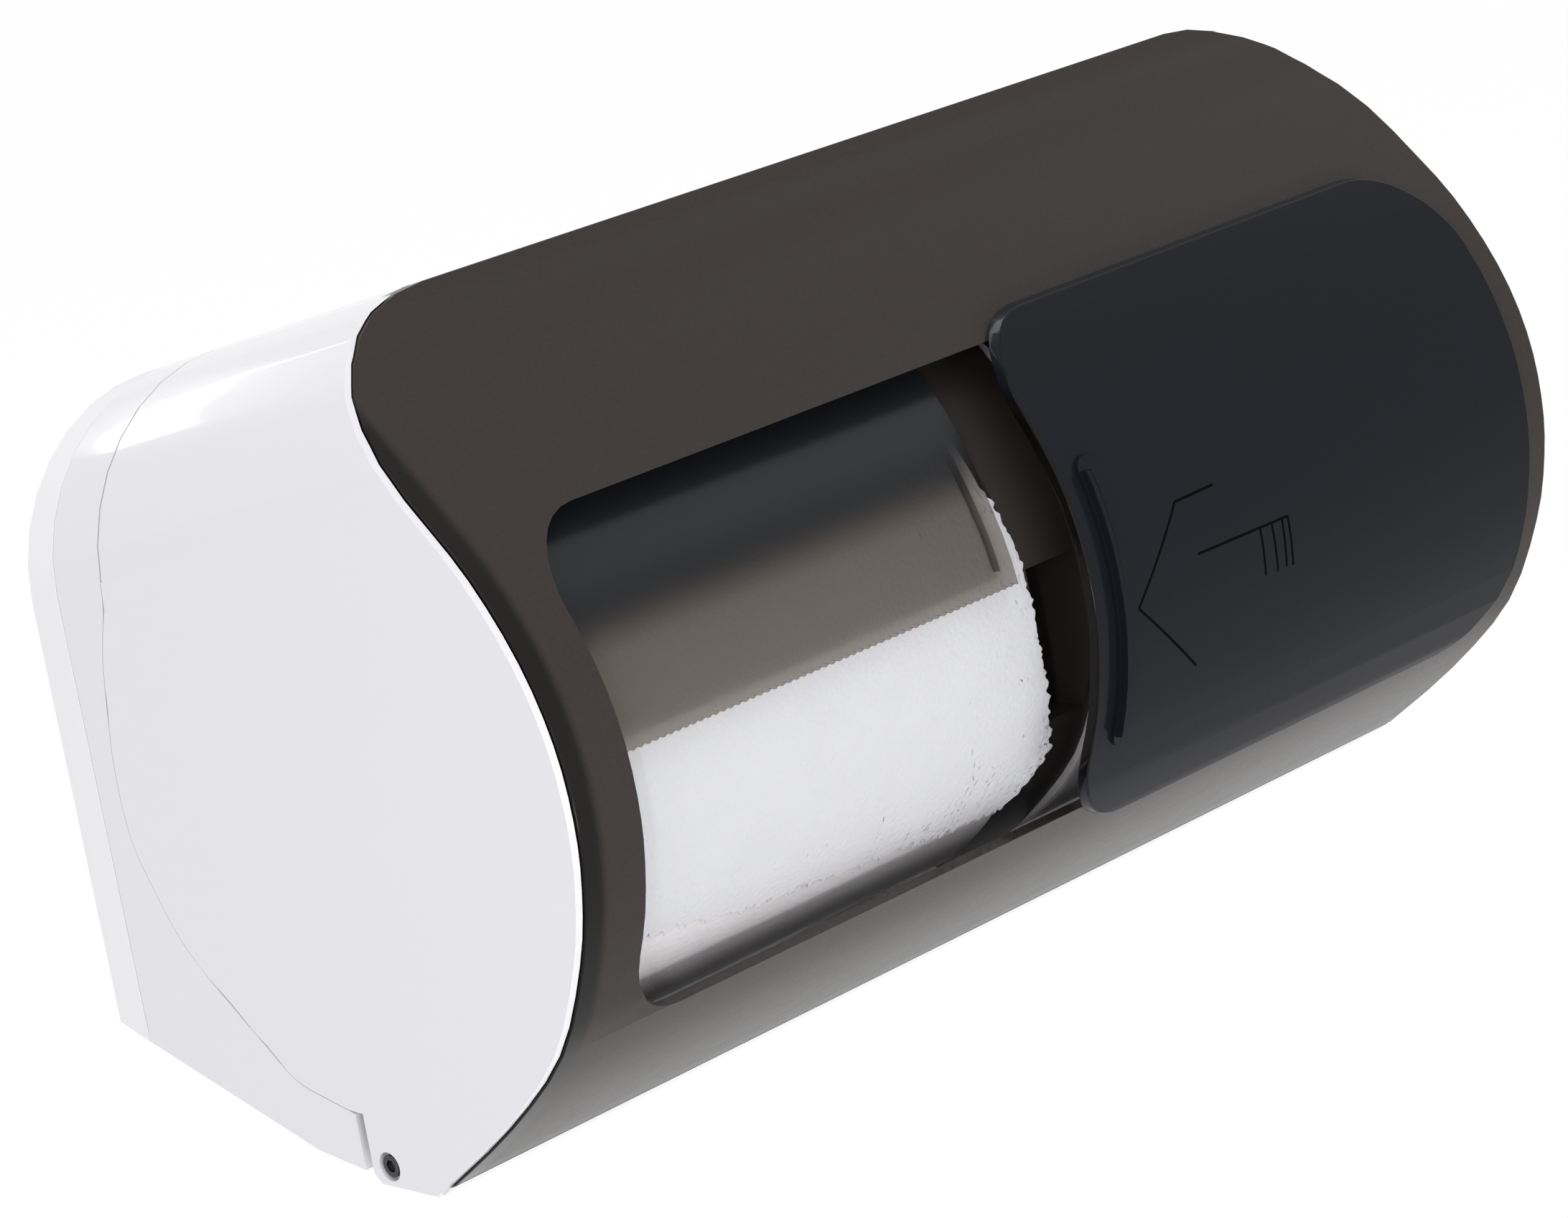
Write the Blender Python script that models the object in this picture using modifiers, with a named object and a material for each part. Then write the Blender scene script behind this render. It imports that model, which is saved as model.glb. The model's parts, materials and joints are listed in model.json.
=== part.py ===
"""Double roll toilet paper dispenser: a wall-mounted case for two standard rolls side by side.

All lengths are in metres. The bench frame has X along the body, depth measured from the wall
towards the user (the -Y direction) and rise measured up from the lowest edge of the cover.
The empty "wall_frame" carries everything, so that the world origin is the centre of the wall
plate's back face.
"""
import math

import bpy
import bmesh
from mathutils import Matrix, Vector

# General clearances and walls
seat_gap = 0.0003
overrun = 0.0040
wall = 0.0024
round_steps = 28

# Body seen from the front: length, rounded top corners, and the part against the wall
body_length = 0.3000
corner_radius = 0.0383
plate_low = 0.0238
plate_thickness = 0.0092
plate_web = 0.0026
corner_steps = 8

# Side section: the top climbs towards the user, the floor drops; shares of depth and height
body_depth = 0.1567
body_height = 0.1758
top_slope = 0.2285
plate_floor_slope = -0.36
floor_shares = ((0.0610, 0.1170), (0.3850, 0.0245), (0.4763, 0.0125))

# Front section, top to bottom, as (depth, height) shares of body_depth and body_height
front_shares = (
    (0.604, 1.080), (0.604, 1.000), (0.650, 0.955), (0.687, 0.918), (0.737, 0.876),
    (0.809, 0.812), (0.889, 0.738), (0.953, 0.650), (0.989, 0.563), (1.000, 0.478),
    (0.992, 0.400), (0.963, 0.312), (0.894, 0.200), (0.771, 0.098), (0.618, 0.000),
    (0.547, -0.048),
)
front_steps = 3

# Cover: seam against the housing as (depth, height) shares, hinge ears and lip
seam_shares = (
    (0.167, 1.300), (0.167, 0.900), (0.163, 0.724), (0.155, 0.661), (0.134, 0.608),
    (0.118, 0.540), (0.106, 0.456), (0.110, 0.383), (0.131, 0.331), (0.168, 0.269),
    (0.206, 0.228), (0.256, 0.188), (0.317, 0.142), (0.367, 0.107), (0.426, 0.092),
    (0.483, 0.081), (0.540, 0.076),
)
seam_gap = 0.0005
hinge_gap = 0.0079
notch_width = 0.0025
ear_chamfer = 0.0020
lip_lead = 0.0063
lip_height = 0.0020
flange_width = 0.0045
opening_lift = 0.0234
opening_bottom = 0.0180

# Hinge pins
pin_rise = 0.0042
pin_gap = 0.00008
pin_radius = 0.0015
pin_head_radius = 0.0024
pin_head_height = 0.0012
pin_socket_radius = 0.0014
pin_socket_depth = 0.0008
pin_socket_sides = 6
pin_recess_radius = 0.0031
pin_recess_depth = 0.0018
ear_boss_radius = 0.0042
ear_boss_height = 0.0020
tongue_thickness = 0.0040
tongue_radius = 0.0036
tongue_root = 0.0300
tongue_height = 0.0110

# Front panel and its window
panel_thickness = 0.0032
panel_edge_depth = 0.0042
panel_edge_width = 0.0030
panel_rim = 0.0030
panel_left_inset = 0.0020
cover_edge_back = 0.0005
window_margin = 0.0178
window_low = 0.0350
window_drop = 0.0404
window_radius = 0.0159
window_rim = 0.0008

# Sliding door, its grip and its two runners
door_left = -0.0067
door_margin = 0.0102
door_lap_low = 0.0042
door_lap_high = 0.0049
door_radius = 0.0193
door_gap = 0.0008
door_thickness = 0.0026
door_rim = 0.0008
grip_margin_low = 0.0190
grip_margin_high = 0.0283
grip_left = -0.0012
grip_width = 0.0060
grip_end_radius = 0.0029
grip_pad_height = 0.0010
grip_rib_inset = 0.0005
grip_rib_width = 0.0012
grip_rib_height = 0.0026
grip_groove_width = 0.0017
grip_groove_depth = 0.0006
runner_inset = 0.0227
runner_leg = 0.0043
runner_edge_gap = 0.0009
runner_lip_height = 0.0046
runner_thickness = 0.0020

# Rolls, cores and spindles
roll_depth = 0.0820
roll_drop = 0.0048
roll_front_space = 0.0078
roll_back_space = 0.0070
roll_floor_space = 0.0150
roll_end_space = 0.0245
roll_inner_end = 0.0115
core_radius = 0.0206
core_thickness = 0.0008
spindle_radius = 0.0080
spindle_flange_width = 0.0040
spindle_flange_inset = 0.0060
journal_radius = 0.0045
journal_gap = 0.0003
journal_inner_end = 0.0050

# Centre post between the rolls
post_half = 0.0110
post_wall = 0.0022
post_low = 0.0220
post_top_gap = 0.0026
post_back_low = 0.0300
post_slant = 0.0120
post_face_inset = 0.0120
pocket_below = 0.0255
pocket_above = 0.0098
pocket_ahead = 0.0080
post_rib_length = 0.0180
post_boss_length = 0.0120

# Roll brackets at the outer ends
bracket_gap = 0.0015
bracket_thickness = 0.0035
bracket_root_half = 0.0180
bracket_nose_radius = 0.0100
bracket_foot_width = 0.0090
bracket_foot_thickness = 0.0030

# Tear guards in front of the rolls
guard_space = 0.0035
guard_thickness = 0.0018
guard_low_angle = 8.0
guard_high_angle = 62.0
guard_turn_angle = 66.0
guard_steps = 12
guard_end_gap = 0.0009
guard_right = 0.0168
cheek_width = 0.0022
cheek_low_angle = 11.0
cheek_high_angle = 58.0
guard_flange_lift = 0.0079
guard_flange_gap = 0.0020
guard_leg = 0.0018
guard_fillet = 0.0010
tooth_pitch = 0.0020
tooth_height = 0.0005

# Lock in the top of the cover and the catch that it works against
lock_depth = 0.0520
lock_flange_radius = 0.0095
lock_flange_height = 0.0014
lock_radius = 0.0080
lock_plug_radius = 0.0050
lock_length = 0.0140
lock_boss_radius = 0.0125
lock_boss_height = 0.0022
lock_nut_radius = 0.0112
lock_nut_height = 0.0030
key_slot_length = 0.0060
key_slot_width = 0.0014
key_slot_depth = 0.0020
cam_thickness = 0.0020
cam_length = 0.0150
cam_half = 0.0045
catch_left = 0.0095
catch_right = 0.0160
catch_rib_height = 0.0125
catch_arm_thickness = 0.0024
catch_lead = 0.0096
catch_rib_thickness = 0.0024
catch_drop = 0.0120

# Screws, bosses and wall holes
screw_radius = 0.0016
screw_hole_gap = 0.0003
screw_head_radius = 0.0034
screw_head_height = 0.0018
screw_steps = 14
boss_radius = 0.0050
boss_margin = 0.0320
boss_lift = 0.0182
boss_drop = 0.0327
plate_screw_length = 0.0076
post_screw_length = 0.0100
post_screw_lift = 0.0120
post_screw_drop = 0.0160
keyhole_margin = 0.0650
keyhole_drop = 0.0350
keyhole_radius = 0.0048
keyhole_slot_radius = 0.0024
keyhole_slot_length = 0.0090
wall_hole_lift = 0.0242
wall_hole_radius = 0.0026

# Body, window and door places worked out from the sizes above
half_length = body_length / 2
front_top = front_shares[1][0] * body_depth
plate_top = body_height - top_slope * front_top
plate_centre = (plate_low + plate_top) / 2
back_rear = plate_thickness + seat_gap
back_front = back_rear + wall
wing_front = floor_shares[-1][0] * body_depth
pin_depth = wing_front + hinge_gap
hinge_point = Vector((0, -pin_depth, pin_rise))
lip_wall_start = pin_depth + lip_lead
window_half = half_length - window_margin
window_high = body_height - window_drop
opening_top = window_high + opening_lift
door_right = half_length - door_margin
door_low = window_low - door_lap_low
door_high = window_high + door_lap_high
grip_low = door_low + grip_margin_low
grip_high = door_high - grip_margin_high
grip_right = grip_left + grip_width

# Roll, post and guard places: the roll is the largest that clears the front, back and floor
roll_rise = (window_low + window_high) / 2 - roll_drop
roll_radius = min(body_depth - panel_thickness - roll_front_space - roll_depth,
                  roll_depth - back_front - roll_back_space,
                  roll_rise - roll_floor_space)
roll_width = half_length - roll_inner_end - roll_end_space
roll_centre_x = roll_inner_end + roll_width / 2
post_high = window_high - post_top_gap
post_back_high = post_high - post_slant
post_screw_low = post_back_low + post_screw_lift
post_screw_high = post_back_high - post_screw_drop
pocket_low = roll_rise - pocket_below
pocket_high = roll_rise + pocket_above
pocket_depth = roll_depth + pocket_ahead
guard_radius = roll_radius + guard_space
guard_left = window_half - guard_end_gap
guard_arc_top = roll_rise + guard_radius * math.sin(math.radians(guard_turn_angle))
guard_flange_low = max(window_high + guard_flange_lift, guard_arc_top + guard_leg)
guard_flange_high = opening_top - guard_flange_gap
cheek_radius = guard_radius - cheek_width

# Lock, catch, boss and wall hole places
lock_point = Vector((0, -lock_depth, plate_top + top_slope * lock_depth))
lock_tilt = -math.atan(top_slope)
cam_top = -lock_length - seat_gap
catch_rib_top = lock_point.z - catch_drop
catch_arm_rise = catch_rib_top - catch_rib_height
catch_rib_depth = lock_depth + catch_lead
boss_x = half_length - boss_margin
boss_low = plate_low + boss_lift
boss_high = plate_top - boss_drop
keyhole_x = half_length - keyhole_margin
keyhole_rise = plate_top - keyhole_drop
wall_hole_rise = plate_low + wall_hole_lift

# Colours and finishes: base colour, roughness, metallic
finishes = {
    "grey_plastic": ((0.72, 0.73, 0.71), 0.45, 0.0),
    "white_plastic": ((0.85, 0.85, 0.87), 0.25, 0.0),
    "smoked_plastic": ((0.060, 0.053, 0.048), 0.18, 0.0),
    "door_plastic": ((0.022, 0.026, 0.032), 0.30, 0.0),
    "black_plastic": ((0.015, 0.014, 0.014), 0.40, 0.0),
    "paper": ((0.88, 0.87, 0.88), 0.95, 0.0),
    "card": ((0.50, 0.40, 0.29), 0.90, 0.0),
    "steel": ((0.60, 0.60, 0.62), 0.30, 1.0),
}


def clear_scene():
    """Remove the objects that are in the scene."""
    for thing in list(bpy.data.objects):
        bpy.data.objects.remove(thing, do_unlink=True)


def make_collections():
    """One collection holds the parts and another holds the cutters."""
    parts = bpy.data.collections.new("double_roll_dispenser")
    cutters = bpy.data.collections.new("cutters")
    bpy.context.scene.collection.children.link(parts)
    bpy.context.scene.collection.children.link(cutters)
    return parts, cutters


def make_material(name):
    """A Principled material with one of the finishes."""
    colour, roughness, metallic = finishes[name]
    material = bpy.data.materials.new(name)
    material.use_nodes = True
    shader = material.node_tree.nodes["Principled BSDF"]
    shader.inputs["Base Color"].default_value = (*colour, 1)
    shader.inputs["Roughness"].default_value = roughness
    shader.inputs["Metallic"].default_value = metallic
    return material


def smooth_line(points, steps):
    """Points of a smooth curve through the given ones, from their second to their last but one."""
    line = []
    for before, start, end, after in zip(points, points[1:], points[2:], points[3:]):
        for step in range(steps):
            t = step / steps
            line.append(tuple(
                0.5 * (2 * b + (c - a) * t + (2 * a - 5 * b + 4 * c - d) * t * t
                       + (3 * b - a - 3 * c + d) * t * t * t)
                for a, b, c, d in zip(before, start, end, after)))
    line.append(points[-2])
    return line


def offset_line(line, distance):
    """The line moved towards the user, square to itself; a negative distance moves it inwards."""
    moved = []
    last = len(line) - 1
    for index, (depth, rise) in enumerate(line):
        ahead = line[min(index + 1, last)]
        behind = line[max(index - 1, 0)]
        run = Vector((ahead[0] - behind[0], ahead[1] - behind[1])).normalized()
        moved.append((depth - run.y * distance, rise + run.x * distance))
    return moved


def front_line(distance=0.0):
    """The front section of the body, top to bottom, moved out by a distance."""
    points = [(depth * body_depth, rise * body_height) for depth, rise in front_shares]
    return offset_line(smooth_line(points, front_steps), distance)


def seam_line(gap=0.0):
    """The seam between housing and cover, top to bottom, moved towards the cover by a gap."""
    points = [(depth * body_depth, rise * body_height) for depth, rise in seam_shares]
    return offset_line(smooth_line(points, front_steps), gap)


def panel_block(name, inset):
    """The front panel's outline, inset; its left end stands inside the cover's end wall."""
    block = body_block(name, inset, 0, body_depth + overrun, -overrun * 2, 0)
    half = half_length - inset
    for vertex in block.data.vertices:
        share = (half - vertex.co.x) / (half * 2)
        vertex.co.x += share * panel_left_inset
    return block


def crossing(line, rise):
    """Depth of a line at a rise; beyond an end, the line goes on straight up or down."""
    for (depth_a, rise_a), (depth_b, rise_b) in zip(line, line[1:]):
        if (rise_a - rise) * (rise_b - rise) <= 0 and rise_a != rise_b:
            return depth_a + (depth_b - depth_a) * (rise_a - rise) / (rise_a - rise_b)
    return min(line, key=lambda point: abs(point[1] - rise))[0]


def stretch(line, low, high):
    """The part of a top-to-bottom line between two rises."""
    middle = [point for point in line if low < point[1] < high]
    return [(crossing(line, high), high)] + middle + [(crossing(line, low), low)]


def strip(low, high, inner, outer):
    """Closed section that follows the front between two rises and two distances from it."""
    inside = stretch(front_line(inner), low, high)
    outside = stretch(front_line(outer), low, high)
    return outside + inside[::-1]


def arc(centre, radius, start, end, steps):
    """Points on an arc, angles in degrees, from the horizontal towards the user."""
    points = []
    for step in range(steps + 1):
        angle = math.radians(start + (end - start) * step / steps)
        points.append((centre[0] + radius * math.cos(angle), centre[1] + radius * math.sin(angle)))
    return points


def link(thing, collection):
    """Put an object in one collection."""
    collection.objects.link(thing)
    return thing


def mesh_of_curve(curve, matrix):
    """Closed mesh of a filled curve, in bench coordinates."""
    holder = link(bpy.data.objects.new("outline", curve), bpy.context.scene.collection)
    graph = bpy.context.evaluated_depsgraph_get()
    mesh = bpy.data.meshes.new_from_object(holder.evaluated_get(graph))
    bpy.data.objects.remove(holder, do_unlink=True)
    bm = bmesh.new()
    bm.from_mesh(mesh)
    bmesh.ops.remove_doubles(bm, verts=bm.verts, dist=0.000001)
    bmesh.ops.transform(bm, matrix=matrix, verts=bm.verts)
    bm.to_mesh(mesh)
    bm.free()
    return mesh


def outline_mesh(points, thickness, matrix):
    """A flat outline given half its thickness on both sides, turned into place."""
    curve = bpy.data.curves.new("outline", "CURVE")
    curve.dimensions = "2D"
    curve.fill_mode = "BOTH"
    curve.extrude = thickness / 2
    spline = curve.splines.new("POLY")
    spline.points.add(len(points) - 1)
    for knot, (u, v) in zip(spline.points, points):
        knot.co = (u, v, 0, 1)
    spline.use_cyclic_u = True
    return mesh_of_curve(curve, matrix)


def side_block(name, points, x_low, x_high):
    """A side section of (depth, rise) points, given a width along X."""
    middle = (x_low + x_high) / 2
    turn = Matrix(((0, 0, -1, middle), (-1, 0, 0, 0), (0, 1, 0, 0), (0, 0, 0, 1)))
    return bpy.data.objects.new(name, outline_mesh(points, x_high - x_low, turn))


def face_block(name, points, depth_low, depth_high):
    """A front outline of (x, rise) points, given a thickness along the depth."""
    middle = -(depth_low + depth_high) / 2
    turn = Matrix(((1, 0, 0, 0), (0, 0, -1, middle), (0, 1, 0, 0), (0, 0, 0, 1)))
    return bpy.data.objects.new(name, outline_mesh(points, depth_high - depth_low, turn))


def body_block(name, inset, depth_low, depth_high, low, lower_slope):
    """The body's front outline, inset, with its climbing top and a sloping underside."""
    half = half_length - inset
    radius = corner_radius - inset
    top = plate_top - inset
    right = arc((half - radius, top - radius), radius, 0, 90, corner_steps)
    left = [(-x, rise) for x, rise in reversed(right)]
    block = face_block(name, [(half, low)] + right + left + [(-half, low)], depth_low, depth_high)
    for vertex in block.data.vertices:
        depth = -vertex.co.y
        upper = vertex.co.z > (low + top) / 2
        vertex.co.z += depth * (top_slope if upper else lower_slope)
    return block


def box(name, low, high):
    """A box between two corners given as (x, depth, rise)."""
    bm = bmesh.new()
    bmesh.ops.create_cube(bm, size=1)
    size = Vector((high[0] - low[0], high[1] - low[1], high[2] - low[2]))
    centre = Vector((high[0] + low[0], -high[1] - low[1], high[2] + low[2])) / 2
    bmesh.ops.scale(bm, vec=size, verts=bm.verts)
    bmesh.ops.translate(bm, vec=centre, verts=bm.verts)
    mesh = bpy.data.meshes.new(name)
    bm.to_mesh(mesh)
    bm.free()
    return bpy.data.objects.new(name, mesh)


def rod(name, radius, start, end, steps=round_steps):
    """A cylinder between two points given as (x, depth, rise)."""
    first = Vector((start[0], -start[1], start[2]))
    last = Vector((end[0], -end[1], end[2]))
    run = last - first
    bm = bmesh.new()
    bmesh.ops.create_cone(bm, cap_ends=True, segments=steps, radius1=radius, radius2=radius,
                          depth=run.length)
    turn = Vector((0, 0, 1)).rotation_difference(run).to_matrix().to_4x4()
    place = Matrix.Translation((first + last) / 2) @ turn
    bmesh.ops.transform(bm, matrix=place, verts=bm.verts)
    mesh = bpy.data.meshes.new(name)
    bm.to_mesh(mesh)
    bm.free()
    return bpy.data.objects.new(name, mesh)


def turned(name, profile, steps=round_steps):
    """A turned solid from (radius, height) points that run down the outer side."""
    mesh = bpy.data.meshes.new(name)
    vertices = [(radius, 0, height) for radius, height in profile]
    edges = [(index, index + 1) for index in range(len(profile) - 1)]
    if profile[0][0] > 0:
        edges.append((len(profile) - 1, 0))
    mesh.from_pydata(vertices, edges, [])
    thing = bpy.data.objects.new(name, mesh)
    screw = thing.modifiers.new("turn", "SCREW")
    screw.steps = steps
    screw.render_steps = steps
    screw.use_merge_vertices = True
    screw.merge_threshold = 0.00001
    screw.use_smooth_shade = True
    return thing


class Assembly:
    """Keeps the collections, the materials and the empties, and puts pieces in place."""

    def __init__(self):
        self.parts, self.cutters = make_collections()
        self.materials = {name: make_material(name) for name in finishes}
        self.root = self.empty("wall_frame", Vector((0, 0, 0)), None)
        self.root.location.z = -plate_centre

    def empty(self, name, point, parent, tilt=0.0):
        """An empty at a bench point, on a joint's axis."""
        thing = link(bpy.data.objects.new(name, None), self.parts)
        thing["bench"] = tuple(point)
        thing.parent = parent
        thing.location = point
        thing.rotation_euler = (tilt, 0, 0)
        return thing

    def add(self, thing, finish, parent=None, sharp=30.0):
        """Give a piece its material and parent; its mesh stays where the bench has it."""
        holder = parent or self.root
        link(thing, self.parts)
        thing.data.materials.clear()
        thing.data.materials.append(self.materials[finish])
        thing.parent = holder
        thing.location = thing.location - Vector(holder["bench"])
        thing.data.shade_smooth()
        thing.data.set_sharp_from_angle(angle=math.radians(sharp))
        return thing

    def work(self, target, tool, operation):
        """Cut a tool from a piece, join it on, or keep what both share."""
        link(tool, self.cutters)
        tool.parent = target
        tool.hide_render = True
        tool.display_type = "WIRE"
        modifier = target.modifiers.new(tool.name, "BOOLEAN")
        modifier.operation = operation
        modifier.solver = "EXACT"
        modifier.object = tool
        return target

    def cut(self, target, *tools):
        """Cut each tool from a piece."""
        for tool in tools:
            self.work(target, tool, "DIFFERENCE")

    def join(self, target, *tools):
        """Join each tool to a piece."""
        for tool in tools:
            self.work(target, tool, "UNION")

    def keep(self, target, *tools):
        """Keep what a piece shares with each tool."""
        for tool in tools:
            self.work(target, tool, "INTERSECT")

    def round_edges(self, target, width, segments=2, angle=40.0):
        """Round the sharp edges of a piece, once points that nearly touch are one."""
        weld = target.modifiers.new("weld", "WELD")
        weld.merge_threshold = 0.0001
        bevel = target.modifiers.new("rounded edges", "BEVEL")
        bevel.width = width
        bevel.segments = segments
        bevel.limit_method = "ANGLE"
        bevel.angle_limit = math.radians(angle)
        bevel.use_clamp_overlap = True


def rounded_rectangle(left, right, low, high, radius, steps=corner_steps):
    """Closed (x, rise) outline of a rectangle with round corners."""
    points = []
    for x, rise, start in ((right - radius, high - radius, 0), (left + radius, high - radius, 90),
                           (left + radius, low + radius, 180), (right - radius, low + radius, 270)):
        points += arc((x, rise), radius, start, start + 90, steps)
    return points


def make_wall_plate(kit):
    """Thin plate against the wall, with a rim, four screw bosses and four wall holes."""
    plate = kit.add(body_block("wall_plate", 0, 0, plate_thickness, plate_low,
                               plate_floor_slope), "grey_plastic")
    kit.cut(plate, body_block("plate_pocket", wall, plate_web, plate_thickness + overrun,
                              plate_low + wall, plate_floor_slope))
    for number, (x, rise) in enumerate(boss_places(), 1):
        kit.join(plate, rod(f"plate_boss_{number}", boss_radius,
                            (x, plate_web / 2, rise), (x, plate_thickness, rise)))
        kit.cut(plate, rod(f"plate_pilot_{number}", screw_radius + screw_hole_gap,
                           (x, plate_web, rise), (x, plate_thickness + overrun, rise),
                           screw_steps))
    for side, x in (("left", -keyhole_x), ("right", keyhole_x)):
        slot_top = keyhole_rise + keyhole_slot_length
        kit.cut(plate,
                rod(f"keyhole_{side}", keyhole_radius,
                    (x, -overrun, keyhole_rise), (x, plate_web + overrun, keyhole_rise)),
                box(f"keyhole_neck_{side}", (x - keyhole_slot_radius, -overrun, keyhole_rise),
                    (x + keyhole_slot_radius, plate_web + overrun, slot_top)),
                rod(f"keyhole_end_{side}", keyhole_slot_radius,
                    (x, -overrun, slot_top), (x, plate_web + overrun, slot_top)),
                rod(f"wall_hole_{side}", wall_hole_radius,
                    (x, -overrun, wall_hole_rise), (x, plate_web + overrun, wall_hole_rise)))
    return plate


def boss_places():
    """The four places (x, rise) of the plate screws."""
    return [(x, rise) for x in (-boss_x, boss_x) for rise in (boss_low, boss_high)]


def floor_line(lift=0.0):
    """The housing's floor from the wall towards the user, raised by a distance."""
    return [(depth * body_depth, rise * body_height + lift) for depth, rise in floor_shares]


def housing_section():
    """Side section of the housing: back, seam against the cover, wing and floor."""
    seam = [point for point in seam_line() if point[0] < wing_front and point[1] > pin_rise]
    front = [point for point in seam_line() if point[0] >= wing_front and point[1] > pin_rise]
    above = [(0, body_height * 2), (seam[0][0], body_height * 2)]
    return above + seam + [(wing_front, front[0][1])] + floor_line()[::-1]


def make_rear_housing(kit):
    """White shell behind the cover: back, top, sides with wings, floor, hinge tongues, catch."""
    housing = kit.add(body_block("rear_housing", 0, back_rear, wing_front, -overrun, 0),
                      "white_plastic")
    kit.keep(housing, side_block("housing_section", housing_section() + [(0, floor_line()[0][1])],
                                 -half_length - overrun, half_length + overrun))
    hollow = body_block("housing_hollow", wall, back_front, wing_front + overrun, -overrun, 0)
    floor = floor_line(wall)
    inner = ([(0, body_height * 2), (body_depth, body_height * 2), (body_depth, floor[-1][1])]
             + floor[::-1] + [(0, floor[0][1])])
    kit.work(hollow, side_block("housing_hollow_section", inner, -half_length, half_length),
             "INTERSECT")
    kit.cut(housing, hollow)
    tongue_outer = half_length - wall - ear_boss_height - seat_gap
    floor = floor_line(wall / 2)
    nose = arc((pin_depth, pin_rise), tongue_radius, -90, 90, corner_steps)
    tongue = nose + [(wing_front - wall, pin_rise + tongue_radius),
                     (tongue_root, pin_rise + tongue_radius + tongue_height),
                     (tongue_root, crossing([(rise, depth) for depth, rise in floor],
                                            tongue_root)), floor[1], floor[2]]
    for side, sign in (("left", -1), ("right", 1)):
        near = sign * (tongue_outer - tongue_thickness)
        far = sign * tongue_outer
        kit.join(housing, side_block(f"tongue_{side}", tongue, min(near, far), max(near, far)))
        kit.cut(housing, rod(f"tongue_bore_{side}", pin_radius + pin_gap,
                             (near - sign * overrun, pin_depth, pin_rise),
                             (far + sign * overrun, pin_depth, pin_rise), screw_steps))
    kit.join(housing,
             box("catch_arm", (catch_left, back_front - wall / 2, catch_arm_rise),
                 (catch_right, catch_rib_depth + catch_rib_thickness / 2,
                  catch_arm_rise + catch_arm_thickness)),
             box("catch_rib", (catch_left, catch_rib_depth, catch_arm_rise),
                 (catch_right, catch_rib_depth + catch_rib_thickness, catch_rib_top)))
    holes = boss_places() + post_screw_places() + bracket_screw_places()
    for number, (x, rise) in enumerate(holes, 1):
        kit.cut(housing, rod(f"back_hole_{number}", screw_radius + screw_hole_gap,
                             (x, back_rear - overrun, rise), (x, back_front + overrun, rise),
                             screw_steps))
    return housing


def post_screw_places():
    """The two places (x, rise) of the centre post's screws."""
    return [(0, post_screw_low), (0, post_screw_high)]


def bracket_screw_places():
    """The two places (x, rise) of the roll brackets' screws."""
    foot_middle = bracket_inner() + bracket_thickness + bracket_foot_width / 2
    return [(-foot_middle, roll_rise), (foot_middle, roll_rise)]


def bracket_inner():
    """Distance from the middle to the inner face of a roll bracket."""
    return roll_inner_end + roll_width + bracket_gap


def journal_slot(name, x_low, x_high):
    """Cutters for a slot that takes a spindle's journal and opens upwards."""
    radius = journal_radius + journal_gap
    return (box(f"{name}_slot", (x_low, roll_depth - radius, roll_rise),
                (x_high, roll_depth + radius, post_high + overrun)),
            rod(f"{name}_seat", radius, (x_low, roll_depth, roll_rise),
                (x_high, roll_depth, roll_rise)))


def make_centre_post(kit):
    """Dark hollow post between the rolls: two slots for the spindles and a pocket in front."""
    start = back_front + seat_gap

    def section(inset, back):
        face = stretch(front_line(-post_face_inset - inset), post_low + inset, post_high - inset)
        return face + [(back, post_back_low + inset), (back, post_back_high - inset)]

    post = kit.add(side_block("centre_post", section(0, start), -post_half, post_half),
                   "black_plastic")
    inner = post_half - post_wall
    hollow = side_block("post_hollow", section(post_wall, start - overrun), -inner, inner)
    kit.cut(hollow, box("pocket_walls", (-post_half, pocket_depth - post_wall,
                                         pocket_low - post_wall),
                        (post_half, body_depth, pocket_high + post_wall)))
    kit.cut(post, hollow)
    kit.cut(post, box("post_pocket", (-inner, pocket_depth, pocket_low),
                      (inner, body_depth + overrun, pocket_high)))
    for side, low, high in (("left", -post_half - overrun, -journal_inner_end + seat_gap),
                            ("right", journal_inner_end - seat_gap, post_half + overrun)):
        kit.cut(post, *journal_slot(f"post_{side}", low, high))
    for number, (x, rise) in enumerate(post_screw_places(), 1):
        kit.join(post,
                 box(f"post_rib_{number}", (-inner - post_wall / 2, start, rise - post_wall / 2),
                     (inner + post_wall / 2, start + post_rib_length, rise + post_wall / 2)),
                 rod(f"post_boss_{number}", boss_radius, (x, start, rise),
                     (x, start + post_boss_length, rise), screw_steps))
        kit.cut(post, rod(f"post_pilot_{number}", screw_radius + screw_hole_gap,
                          (x, start - overrun, rise),
                          (x, start + post_screw_length, rise), screw_steps))
    return post


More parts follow.
